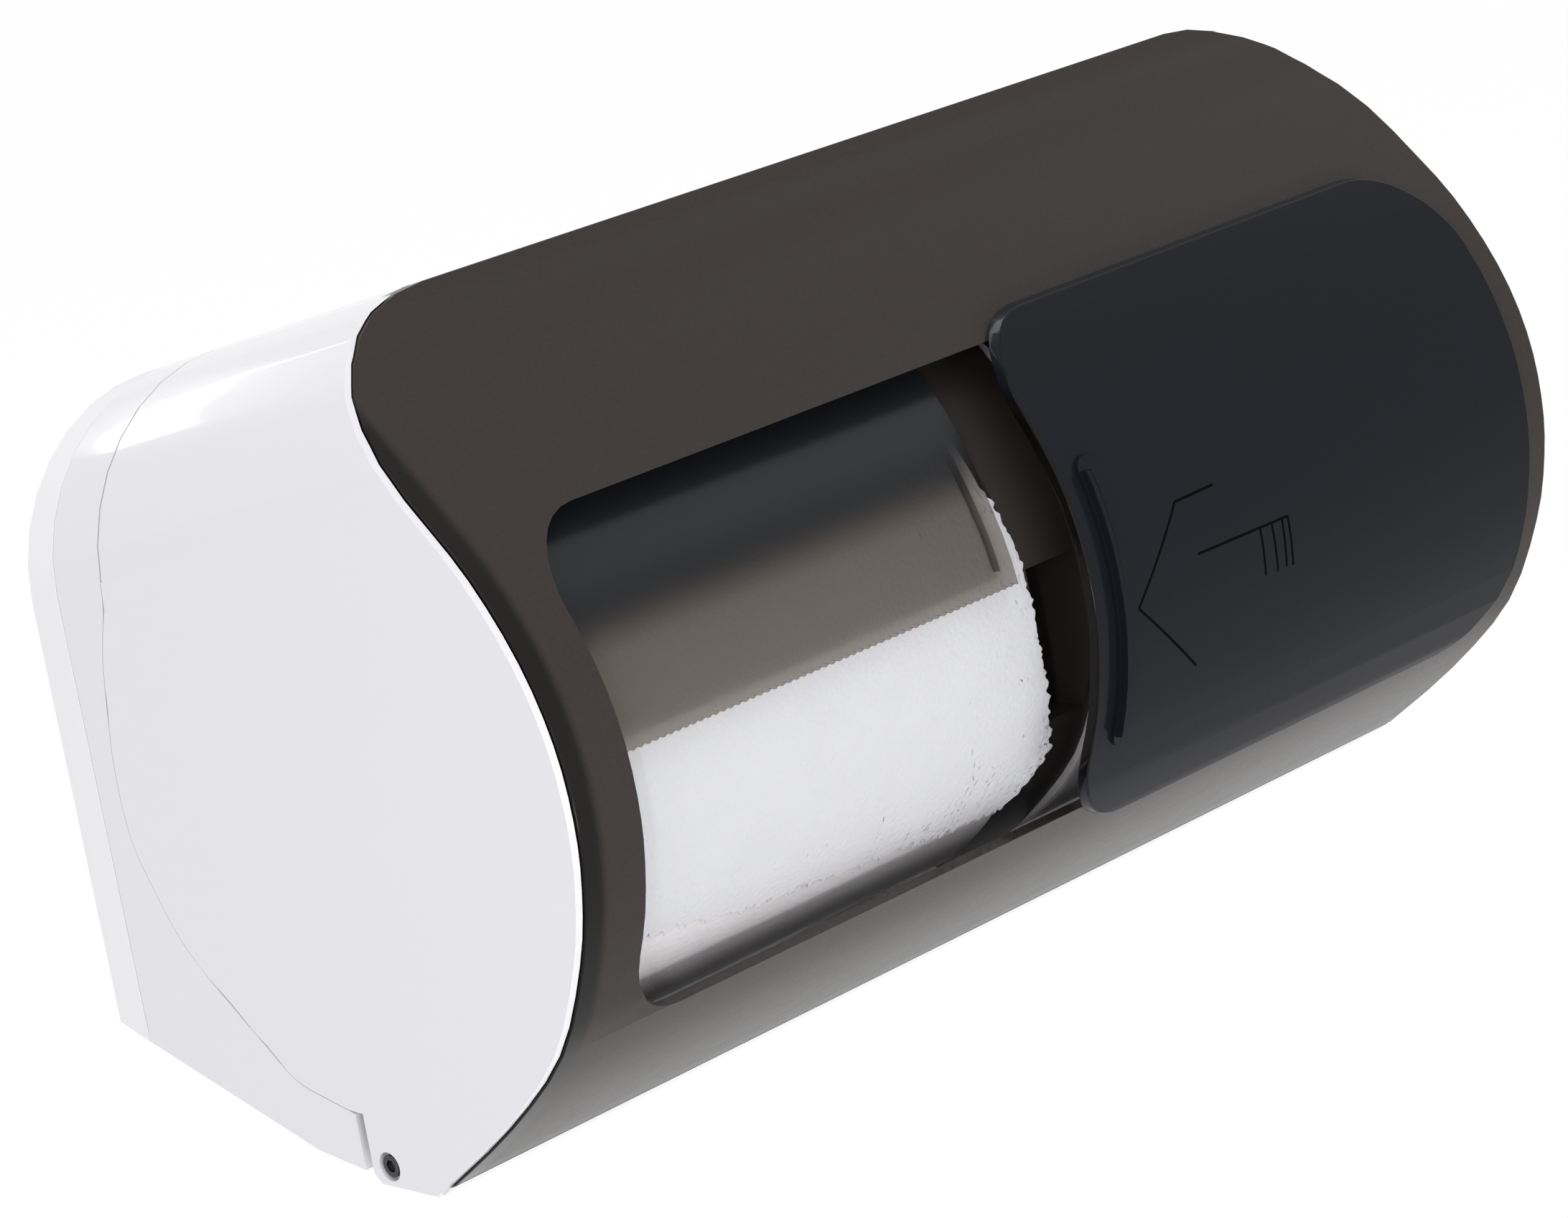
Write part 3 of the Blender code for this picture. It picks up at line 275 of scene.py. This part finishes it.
smoked_guard, guard_tree, guard_shader = start_material("smoked_guard", guard_colour, 0.24)
guard_shader.inputs["Specular IOR Level"].default_value = 0.25
vary(guard_tree, object_noise(guard_tree, 300.0), guard_shader.inputs["Roughness"], 0.22, 0.30)
emboss(guard_tree, object_noise(guard_tree, 2600.0), guard_shader, 0.000006)
guard_place = add_node(guard_tree, "ShaderNodeTexCoord")
guard_split = add_node(guard_tree, "ShaderNodeSeparateXYZ")
# Painted shade: the guard turns from mostly clear below to dark above, by its height.
guard_shade_grade = add_node(guard_tree, "ShaderNodeMapRange", interpolation_type="SMOOTHSTEP")
guard_shade_grade.inputs["From Min"].default_value = shade_grade_start
guard_shade_grade.inputs["From Max"].default_value = shade_grade_end
guard_shade_grade.inputs["To Min"].default_value = shade_share_below
guard_shade_grade.inputs["To Max"].default_value = shade_share_above
guard_clear = add_node(guard_tree, "ShaderNodeBsdfTransparent", Color=(0.75, 0.72, 0.69, 1))
guard_mix = add_node(guard_tree, "ShaderNodeMixShader")
guard_output = guard_tree.nodes["Material Output"]
guard_tree.links.new(guard_place.outputs["Object"], guard_split.inputs["Vector"])
guard_tree.links.new(guard_split.outputs["Z"], guard_shade_grade.inputs["Value"])
guard_tree.links.new(guard_shade_grade.outputs["Result"], guard_mix.inputs["Fac"])
guard_tree.links.new(guard_clear.outputs["BSDF"], guard_mix.inputs[1])
guard_tree.links.new(guard_shader.outputs["BSDF"], guard_mix.inputs[2])
guard_tree.links.new(guard_mix.outputs["Shader"], guard_output.inputs["Surface"])
print("guard grades from", round(shade_grade_start, 4), "to", round(shade_grade_end, 4))

# %% [markdown]
# ## Paper, card and steel
#
# Tissue has almost no gloss and a soft sheen from its loose fibres. Light also gets into it, which
# a little subsurface scatter stands for. The embossing is a fine field of dimples, and the wound
# layers show as rings on a roll's ends, counted outwards from the roll's own axis. The wound rolls
# have a paler copy of the loose sheet's paper, painted light that lifts them where they lie in
# shade.

# %% Paper
ring_pitch = 0.0006

tissue, tissue_tree, tissue_shader = start_material("tissue", (0.655, 0.632, 0.645), 0.95)
tissue_shader.inputs["Specular IOR Level"].default_value = 0.2
tissue_shader.inputs["Sheen Weight"].default_value = 0.2
tissue_shader.inputs["Subsurface Weight"].default_value = 0.12
tissue_shader.inputs["Subsurface Scale"].default_value = 0.002
tint(tissue_tree, object_noise(tissue_tree, 90.0, 8.0), tissue_shader,
     (0.635, 0.602, 0.622), (0.675, 0.642, 0.662))
paper_place = add_node(tissue_tree, "ShaderNodeTexCoord")
paper_centre = add_node(tissue_tree, "ShaderNodeMapping",
                        Location=(0, -roll_axis.y, -roll_axis.z))
paper_flat = add_node(tissue_tree, "ShaderNodeVectorMath", operation="MULTIPLY")
paper_flat.inputs[1].default_value = (0, 1, 1)
paper_reach = add_node(tissue_tree, "ShaderNodeVectorMath", operation="LENGTH")
paper_turns = add_node(tissue_tree, "ShaderNodeMath", operation="MULTIPLY")
paper_turns.inputs[1].default_value = 2 * math.pi / ring_pitch
paper_rings = add_node(tissue_tree, "ShaderNodeMath", operation="SINE")
dimples = add_node(tissue_tree, "ShaderNodeTexVoronoi", feature="SMOOTH_F1", Scale=900.0)
tissue_tree.links.new(paper_place.outputs["Object"], paper_centre.inputs["Vector"])
tissue_tree.links.new(paper_place.outputs["Object"], dimples.inputs["Vector"])
tissue_tree.links.new(paper_centre.outputs["Vector"], paper_flat.inputs[0])
tissue_tree.links.new(paper_flat.outputs["Vector"], paper_reach.inputs[0])
tissue_tree.links.new(paper_reach.outputs["Value"], paper_turns.inputs[0])
tissue_tree.links.new(paper_turns.outputs["Value"], paper_rings.inputs[0])
ring_bump = emboss(tissue_tree, paper_rings.outputs["Value"], tissue_shader, 0.00004)
dimple_bump = emboss(tissue_tree, dimples.outputs["Distance"], tissue_shader, 0.00016)
fibre_bump = emboss(tissue_tree, object_noise(tissue_tree, 1800.0, 4.0), tissue_shader, 0.00008)
tissue_tree.links.new(ring_bump.outputs["Normal"], dimple_bump.inputs["Normal"])
tissue_tree.links.new(dimple_bump.outputs["Normal"], fibre_bump.inputs["Normal"])
# Painted light: a paler copy of the tissue for the wound rolls, lifting them where they lie in
# shade.
painted_light_tissue = tissue.copy()
painted_light_tissue.name = "painted_light_tissue"
painted_light_shader = painted_light_tissue.node_tree.nodes["Principled BSDF"]
painted_light_ramp = painted_light_shader.inputs["Base Color"].links[0].from_node.color_ramp
painted_light_ramp.elements[0].color = (0.745, 0.715, 0.732, 1)
painted_light_ramp.elements[1].color = (0.785, 0.755, 0.772, 1)
print("papers:", tissue.name, "and", painted_light_tissue.name)

# %% [markdown]
# Raw card has fibres along the core's length. Turned and drawn steel has fine marks the same way,
# which its roughness follows.

# %% Card and steel
card, card_tree, card_shader = start_material("card", (0.42, 0.33, 0.23), 0.9)
tint(card_tree, object_noise(card_tree, 400.0, 8.0, (0.15, 1, 1)), card_shader,
     (0.36, 0.28, 0.19), (0.50, 0.40, 0.29))
emboss(card_tree, object_noise(card_tree, 900.0), card_shader, 0.00004)

steel, steel_tree, steel_shader = start_material("steel", (0.58, 0.58, 0.60), 0.28, 1.0)
vary(steel_tree, object_noise(steel_tree, 1500.0, 4.0, (0.1, 1, 1)),
     steel_shader.inputs["Roughness"], 0.20, 0.38)
emboss(steel_tree, object_noise(steel_tree, 900.0), steel_shader, 0.00001)

pin_metal, pin_tree, pin_shader = start_material("pin_metal", (0.07, 0.07, 0.075), 0.35, 1.0)
vary(pin_tree, object_noise(pin_tree, 1500.0), pin_shader.inputs["Roughness"], 0.28, 0.45)
emboss(pin_tree, object_noise(pin_tree, 1200.0), pin_shader, 0.00001)
print("card and metals:", card.name, steel.name, pin_metal.name)

# %% [markdown]
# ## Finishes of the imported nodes
#
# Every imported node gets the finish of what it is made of, whether it shows itself or through a
# merged copy.

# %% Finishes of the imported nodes
finish_of = {
    "wall_plate": plate_grey, "rear_housing": white_gloss, "cover_shell": white_gloss,
    "front_panel": smoked_front, "sliding_door": door_dark,
    "upper_door_runner": spindle_dark, "lower_door_runner": spindle_dark,
    "centre_post": post_dark,
}
for side in ("left", "right"):
    finish_of[f"{side}_tear_guard"] = smoked_guard
    finish_of[f"{side}_roll_bracket"] = white_gloss
    finish_of[f"{side}_paper_roll"] = painted_light_tissue
    finish_of[f"{side}_core"] = card
    finish_of[f"{side}_spindle"] = spindle_dark
    finish_of[f"{side}_hinge_pin"] = pin_metal
for name, thing in nodes.items():
    thing.data.materials.clear()
    thing.data.materials.append(finish_of.get(name, steel))
body_of = {node: body for body, held in frame["record"]["behaviour"]["bodies"].items()
           for node in held}
print("dressed", len(nodes), "nodes")

# %% [markdown]
# ## Merged copies
#
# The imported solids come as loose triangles, which shade as facets. A merged copy shares its
# corners, so its curves can shade smoothly, and a small bevel gives each moulded edge the soft
# line of light that real edges have. Weighted normals keep large flat walls flat. The panel's
# rounded rim is a run of small chamfers, so its faces join smoothly up to a wider angle.

# %% Merged copies
merge_distance = 0.00001
smooth_angle = math.radians(32)
chamfer_angle = math.radians(48)
chamfered = ("front_panel",)


def hand_over(piece, node):
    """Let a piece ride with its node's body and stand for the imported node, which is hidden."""
    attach(piece, body_of[node])
    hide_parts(node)


def shade_by_angle(bm, limit=smooth_angle):
    """Smooth faces, with the edges above a limit kept sharp."""
    for face in bm.faces:
        face.smooth = True
    for rim in bm.edges:
        rim.smooth = len(rim.link_faces) == 2 and rim.calc_face_angle() < limit


def new_piece(name, bm, finish):
    """An object at the origin from a finished bmesh."""
    mesh = bpy.data.meshes.new(name)
    bm.to_mesh(mesh)
    bm.free()
    mesh.materials.append(finish)
    piece = bpy.data.objects.new(name, mesh)
    bpy.context.scene.collection.objects.link(piece)
    return piece


def soften(piece, width):
    """A small bevel on the sharp edges, and normals weighted by area."""
    if width:
        bevel = piece.modifiers.new("soft_edges", "BEVEL")
        bevel.width = width
        bevel.segments = 2
        bevel.limit_method = "ANGLE"
        bevel.angle_limit = smooth_angle
        bevel.harden_normals = True
    weigh = piece.modifiers.new("flat_walls", "WEIGHTED_NORMAL")
    weigh.keep_sharp = True


def merged_copy(node, width=0.0):
    """A merged, smooth-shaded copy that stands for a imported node."""
    bm = bmesh.new()
    bm.from_mesh(nodes[node].data)
    bmesh.ops.remove_doubles(bm, verts=bm.verts, dist=merge_distance)
    shade_by_angle(bm, chamfer_angle if node in chamfered else smooth_angle)
    piece = new_piece(f"{node}_skin", bm, finish_of.get(node, steel))
    soften(piece, width)
    hand_over(piece, node)
    return piece


edge_widths = {
    "cover_shell": 0.00015, "rear_housing": 0.00015, "wall_plate": 0.00035, "front_panel": 0.0,
    "sliding_door": 0.0002, "centre_post": 0.0003, "left_tear_guard": 0.0,
    "right_tear_guard": 0.0, "upper_door_runner": 0.0003, "lower_door_runner": 0.0003,
    "left_roll_bracket": 0.0003, "right_roll_bracket": 0.0003, "left_hinge_pin": 0.0001,
    "right_hinge_pin": 0.0001, "left_spindle": 0.0002, "right_spindle": 0.0002,
    "left_core": 0.0, "right_core": 0.0, "lock_body": 0.0001, "lock_plug": 0.0001,
    "lock_nut": 0.0002, "lock_cam": 0.0002,
}
skins = {node: merged_copy(node, width) for node, width in edge_widths.items()}
print("merged copies:", len(skins))

# %% [markdown]
# The cover closes onto the housing along a hairline. Light, glossy plastic glows inside such a
# narrow gap, so the skins meet more closely there than the solids, which need room to move.

# %% Hairline seam
housing_surface = BVHTree.FromObject(skins["rear_housing"],
                                     bpy.context.evaluated_depsgraph_get())
seam_reach = 0.0005
seam_close = 0.65
closed = 0
for corner in skins["cover_shell"].data.vertices:
    near = housing_surface.find_nearest(corner.co, seam_reach)[0]
    if near is not None:
        corner.co = corner.co.lerp(near, seam_close)
        closed += 1
print("seam corners drawn together:", closed)

# %% [markdown]
# The guard's folded right end leans outwards as it climbs: its upper part reaches a few
# millimetres further over the roll than its cutting edge does.

# %% Folded end of the guards
lean_start = math.radians(24)
lean_end = math.radians(52)
lean_reach = 0.0047
lean_width = 0.004


def lean_out(guard, sign):
    """Move the inner end of a guard's upper part towards the middle."""
    inner_end = min(abs(corner.co.x) for corner in guard.data.vertices)
    for corner in guard.data.vertices:
        climb = math.atan2(corner.co.z - roll_axis.z, roll_axis.y - corner.co.y)
        share = min(max((climb - lean_start) / (lean_end - lean_start), 0), 1)
        near = max(0, 1 - (abs(corner.co.x) - inner_end) / lean_width)
        corner.co.x -= sign * lean_reach * share * near


lean_out(skins["left_tear_guard"], -1)
lean_out(skins["right_tear_guard"], 1)
print("guard ends lean by", lean_reach)

# %% [markdown]
# ## Wound rolls
#
# A roll of tissue is soft: its rims are rounded and its surface is never quite true. One section
# is spun round the roll's axis with merged ends, and each point is then moved in or out by a slow
# noise, so the roll keeps its size and loses its machined look.

# %% Wound rolls
roll_steps = 144
rim_radius = 0.0012
rim_steps = 3
roll_rows = 26
bore_gap = 0.0003
swell_along = 45
swell_round = 30
swell_height = 0.00022
swell_drop = 0.00015


def roll_section(low, high, bore):
    """Points (x, radius) round the section of a roll with soft rims."""
    points = [(low, bore), (low, roll_radius * 0.5), (low, roll_radius - rim_radius)]
    for step in range(1, rim_steps + 1):
        turn = math.radians(90 / rim_steps * step)
        points.append((low + rim_radius * (1 - math.cos(turn)),
                       roll_radius - rim_radius * (1 - math.sin(turn))))
    rim_points = points[:]
    for row in range(1, roll_rows):
        points.append((low + (high - low) * row / roll_rows, roll_radius))
    mirrored = [(low + high - x, radius) for x, radius in reversed(rim_points)]
    return points + mirrored


def wound_roll(side):
    """A soft roll that stands for an imported one."""
    node = f"{side}_paper_roll"
    low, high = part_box(node)
    core_low, core_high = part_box(f"{side}_core")
    bore = (core_high[2] - core_low[2]) / 2 + bore_gap
    bm = bmesh.new()
    ring = [bm.verts.new((x, roll_axis.y, roll_axis.z + radius))
            for x, radius in roll_section(low[0], high[0], bore)]
    chain = [bm.edges.new(pair) for pair in zip(ring, ring[1:] + ring[:1])]
    bmesh.ops.spin(bm, geom=ring + chain, cent=roll_axis, axis=(1, 0, 0), angle=2 * math.pi,
                   steps=roll_steps, use_merge=True)
    bmesh.ops.remove_doubles(bm, verts=bm.verts, dist=merge_distance)
    bmesh.ops.recalc_face_normals(bm, faces=bm.faces)
    for vert in bm.verts:
        out = Vector((0, vert.co.y, vert.co.z)) - roll_axis
        if out.length > roll_radius - rim_radius:
            swell = noise.noise(Vector((vert.co.x * swell_along, out.y * swell_round,
                                        out.z * swell_round)))
            vert.co += out.normalized() * (swell * swell_height - swell_drop)
    shade_by_angle(bm)
    piece = new_piece(f"{side}_wound_roll", bm, painted_light_tissue)
    hand_over(piece, node)
    return piece


rolls = [wound_roll("left"), wound_roll("right")]
print("rolls:", [len(roll.data.polygons) for roll in rolls])

# %% [markdown]
# ## The torn sheet
#
# The outer sheet of the left roll is loose. Its end was torn against the guard and hangs low on
# the roll as a ragged line, and its right side stands a few millimetres past the roll, pulled and
# frayed. A grid is bent round the roll's axis: its top stays hidden under the guard, its right
# side and its end follow the torn lines, and the lines get their fibres from layers of noise.
# Angles are in degrees above the roll's front. The grid's lines crowd towards both torn lines,
# where the fibres need them, and the sheet lifts off the roll a little near its free edges.

# %% The torn sheet
sheet_top = 60.0
sheet_right = -0.0045
sheet_lift = 0.00045
sheet_thickness = 0.00012
sheet_columns = 300
sheet_rows = 150
crowd_right = 1.15
crowd_low = 1.4
row_stretch = 0.9
end_fray = (1.0, 1.9)
side_fray = (0.0005, 0.0012)
side_trim = 0.0004
sway_scale = 60
point_scale = 520
hair_scale = 1500
free_from = 0.90
free_span = 0.10
free_lift = 0.0003
side_start = 0.004
side_span = 0.011
side_lift = 0.0006
wave_along = 55
wave_height = 0.00012
right_side = ((60.0, -0.0190), (38.0, -0.0165), (30.0, -0.0145), (24.0, -0.0122),
              (17.0, -0.0110), (9.0, -0.0104), (0.0, -0.0103), (-12.0, -0.0084),
              (-20.0, -0.0067), (-28.5, -0.0041), (-30.0, -0.0052), (-33.0, -0.0060),
              (-37.0, -0.0068), (-42.0, -0.0084))
torn_end = ((-0.1260, -27.5), (-0.1080, -30.2), (-0.0944, -32.3), (-0.0783, -34.5),
            (-0.0656, -35.6), (-0.0494, -37.6), (-0.0360, -38.2), (-0.0209, -39.2),
            (-0.0092, -40.2), (-0.0040, -30.0))


def between(table, key):
    """Value of a table of (key, value) pairs between its rows."""
    rows = sorted(table)
    for (key_a, value_a), (key_b, value_b) in zip(rows, rows[1:]):
        if key <= key_b:
            share = min(max((key - key_a) / (key_b - key_a), 0), 1)
            return value_a + (value_b - value_a) * share
    return rows[-1][1]


def ragged(place, coarse, fine):
    """Torn fibres: a slow sway and short, sharp points."""
    sway = noise.noise(Vector((place * sway_scale, 3.1, 0.7)))
    point = abs(noise.noise(Vector((place * point_scale, 8.4, 1.9))))
    hair = abs(noise.noise(Vector((place * hair_scale, 5.2, 6.3))))
    return sway * coarse + (point * 1.4 + hair * 0.8) * fine


def torn_sheet():
    """The loose outer sheet of the left roll."""
    low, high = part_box("left_paper_roll")
    bm = bmesh.new()
    bmesh.ops.create_grid(bm, x_segments=sheet_columns, y_segments=sheet_rows, size=0.5)
    for vert in bm.verts:
        across = 1 - (0.5 - vert.co.x) ** crowd_right
        down = 1 - (vert.co.y + 0.5) ** crowd_low
        x = low[0] + (sheet_right - low[0]) * across
        end = between(torn_end, x) - ragged(x, *end_fray)
        turn = sheet_top + (end - sheet_top) * down ** row_stretch
        edge_x = between(right_side, turn) + ragged(turn * 0.001, *side_fray) - side_trim
        x = low[0] + (edge_x - low[0]) * across
        free = max(0.0, (down - free_from) / free_span)
        side = max(0.0, (x - high[0] + side_start) / side_span)
        wave = noise.noise(Vector((x * wave_along, turn * 0.05, 2.2)))
        reach = roll_radius + sheet_lift + free_lift * free * (1.2 + wave) + wave_height * wave
        reach += side_lift * side * (1 + noise.noise(Vector((turn * 0.12, 1.5, x * 30))))
        angle = math.radians(turn)
        vert.co = Vector((x, roll_axis.y - reach * math.cos(angle),
                          roll_axis.z + reach * math.sin(angle)))
    bmesh.ops.recalc_face_normals(bm, faces=bm.faces)
    for face in bm.faces:
        face.smooth = True
    piece = new_piece("torn_sheet", bm, tissue)
    thick = piece.modifiers.new("two_plies", "SOLIDIFY")
    thick.thickness = sheet_thickness
    thick.offset = 0
    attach(piece, "base")
    return piece


sheet = torn_sheet()
print("torn sheet:", len(sheet.data.polygons), "faces")

# %% [markdown]
# ## The arrow on the door
#
# A plain arrow is cut into the door beside the grip, and four short strokes across its tail show
# that the door slides. Each line is a narrow strip laid along its path, and rays cast at the door
# from the front drop every point onto the curved surface.

# %% The arrow on the door
line_width = 0.00055
line_lift = 0.00003
line_depth = 0.00005
line_step = 0.0012
bench_lift = cad_low[2]
arrow_lines = (
    ((0.0063, 0.0783), (0.0227, 0.0963)), ((0.0227, 0.0963), (0.0350, 0.0965)),
    ((0.0063, 0.0783), (0.0246, 0.0601)), ((0.0263, 0.0841), (0.0555, 0.0838)),
    ((0.0464, 0.0836), (0.0469, 0.0732)), ((0.0502, 0.0837), (0.0509, 0.0729)),
    ((0.0536, 0.0839), (0.0538, 0.0731)), ((0.0555, 0.0838), (0.0560, 0.0728)),
)
door_surface = BVHTree.FromObject(skins["sliding_door"], bpy.context.evaluated_depsgraph_get())


def on_door(x, z):
    """The point of the door's front at an x and a height."""
    hit = door_surface.ray_cast(Vector((x, -1, z)), Vector((0, 1, 0)))[0]
    return hit - Vector((0, line_lift, 0))


def cut_line(bm, start, end):
    """A strip along one line of the arrow, laid on the door."""
    first = Vector((start[0], start[1]))
    run = Vector((end[0], end[1])) - first
    aside = Vector((-run.y, run.x)).normalized() * line_width
    steps = max(2, int(run.length / line_step))
    made = bmesh.ops.create_grid(bm, x_segments=steps, y_segments=1, size=0.5)
    for vert in made["verts"]:
        spot = first + run * (vert.co.x + 0.5) + aside * vert.co.y
        vert.co = on_door(spot.x, spot.y + bench_lift)


engraved, engraved_tree, engraved_shader = start_material(
    "engraved", (0.0012, 0.0013, 0.0015), 0.6)
engraved_shader.inputs["Specular IOR Level"].default_value = 0.02
vary(engraved_tree, object_noise(engraved_tree, 900.0), engraved_shader.inputs["Roughness"],
     0.5, 0.75)
arrow_bm = bmesh.new()
for start, end in arrow_lines:
    cut_line(arrow_bm, start, end)
bmesh.ops.recalc_face_normals(arrow_bm, faces=arrow_bm.faces)
arrow = new_piece("door_arrow", arrow_bm, engraved)
depth = arrow.modifiers.new("line_depth", "SOLIDIFY")
depth.thickness = line_depth
depth.offset = 0
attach(arrow, "door")
print("arrow:", len(arrow_lines), "lines")

# %% [markdown]
# ## Studio
#
# A pale floor, wide soft lamps and an even world. The white background is the world as the camera
# and the mirror-like reflections see it, and never more light on the object. The floor mixes a
# little real white with the background's white, so it keeps the object's soft shadow.

# %% Background
world = bpy.data.worlds.new("studio")
bpy.context.scene.world = world
world.use_nodes = True
world_tree = world.node_tree
world_tree.nodes.clear()


def seen_directly(tree):
    """1 for camera, glossy and transmission rays, 0 for the light that falls on things."""
    path = add_node(tree, "ShaderNodeLightPath")
    first = add_node(tree, "ShaderNodeMath", operation="MAXIMUM")
    both = add_node(tree, "ShaderNodeMath", operation="MAXIMUM")
    tree.links.new(path.outputs["Is Camera Ray"], first.inputs[0])
    tree.links.new(path.outputs["Is Glossy Ray"], first.inputs[1])
    tree.links.new(first.outputs["Value"], both.inputs[0])
    tree.links.new(path.outputs["Is Transmission Ray"], both.inputs[1])
    return both.outputs["Value"]


output = add_node(world_tree, "ShaderNodeOutputWorld")
mix = add_node(world_tree, "ShaderNodeMixShader")
soft = add_node(world_tree, "ShaderNodeBackground", Color=(0.985, 0.985, 1.0, 1), Strength=0.55)
plain = add_node(world_tree, "ShaderNodeBackground", Color=(1, 1, 1, 1), Strength=1.0)
world_tree.links.new(seen_directly(world_tree), mix.inputs["Fac"])
world_tree.links.new(soft.outputs["Background"], mix.inputs[1])
world_tree.links.new(plain.outputs["Background"], mix.inputs[2])
world_tree.links.new(mix.outputs["Shader"], output.inputs["Surface"])
print("background:", plain.inputs["Strength"].default_value, "seen,",
      round(soft.inputs["Strength"].default_value, 2), "as light")

# %% [markdown]
# The floor lies well below the dispenser, which hangs on no wall here, so that its white lights
# the underside and only a faint shadow shows.

# %% Floor
floor_drop = 0.32
floor_half = 6
floor_glow_share = 0.90
floor_white, floor_tree, floor_shader = start_material("floor_white", (0.9, 0.9, 0.9), 0.9)
tint(floor_tree, object_noise(floor_tree, 4.0), floor_shader,
     (0.89, 0.89, 0.89), (0.91, 0.91, 0.91))
floor_glow = add_node(floor_tree, "ShaderNodeEmission", Color=(1, 1, 1, 1), Strength=1.04)
floor_mix = add_node(floor_tree, "ShaderNodeMixShader")
floor_share = add_node(floor_tree, "ShaderNodeMath", operation="MULTIPLY")
floor_share.inputs[1].default_value = floor_glow_share
floor_tree.links.new(seen_directly(floor_tree), floor_share.inputs[0])
floor_tree.links.new(floor_share.outputs["Value"], floor_mix.inputs["Fac"])
floor_tree.links.new(floor_shader.outputs["BSDF"], floor_mix.inputs[1])
floor_tree.links.new(floor_glow.outputs["Emission"], floor_mix.inputs[2])
floor_tree.links.new(floor_mix.outputs["Shader"],
                     floor_tree.nodes["Material Output"].inputs["Surface"])
floor_bm = bmesh.new()
bmesh.ops.create_grid(floor_bm, x_segments=2, y_segments=2, size=floor_half)
bmesh.ops.translate(floor_bm, vec=(0, 0, -floor_drop), verts=floor_bm.verts)
floor = new_piece("studio_floor", floor_bm, floor_white)
print("floor", floor_drop, "m below the middle")

# %% [markdown]
# Broad lamps from above, from the left and from the front give the soft light. A low one reaches
# under the roll's front, and small or narrow ones behind and above draw streaks along the cover's
# rounded corners. Every lamp looks at the same point near the object's middle.

# %% Lamps
lamp_target = Vector((0, -0.07, 0))
lamps = (
    ("key_lamp", (-0.5, -1.2, 1.6), (1.2, 1.0), 7.5),
    ("side_lamp", (-1.35, -0.25, 1.4), (0.9, 0.9), 6),
    ("front_lamp", (0.2, -1.8, 0.0), (1.6, 0.8), 3.6),
    ("low_lamp", (-0.15, -0.95, -0.22), (1.0, 0.12), 2.2),
    ("top_lamp", (-0.25, 0.05, 1.7), (0.16, 0.16), 0.4),
    ("streak_lamp", (0.05, 1.3, 0.6), (0.5, 0.05), 0.25),
    ("edge_lamp", (-1.45, -1.32, 0.45), (0.06, 0.8), 5),
    ("back_lamp", (0.15, 1.3, 1.45), (1.6, 0.15), 5),
)


def softbox(name, place, size, power):
    """A rectangular soft lamp that looks at the dispenser."""
    lamp = bpy.data.lights.new(name, "AREA")
    lamp.shape = "RECTANGLE"
    lamp.size, lamp.size_y = size
    lamp.energy = power
    thing = bpy.data.objects.new(name, lamp)
    bpy.context.scene.collection.objects.link(thing)
    thing.location = place
    aim = lamp_target - Vector(place)
    thing.rotation_euler = aim.to_track_quat("-Z", "Y").to_euler()


for row in lamps:
    softbox(*row)
bpy.context.scene.view_settings.view_transform = "Standard"
print("studio:", len(lamps), "lamps")
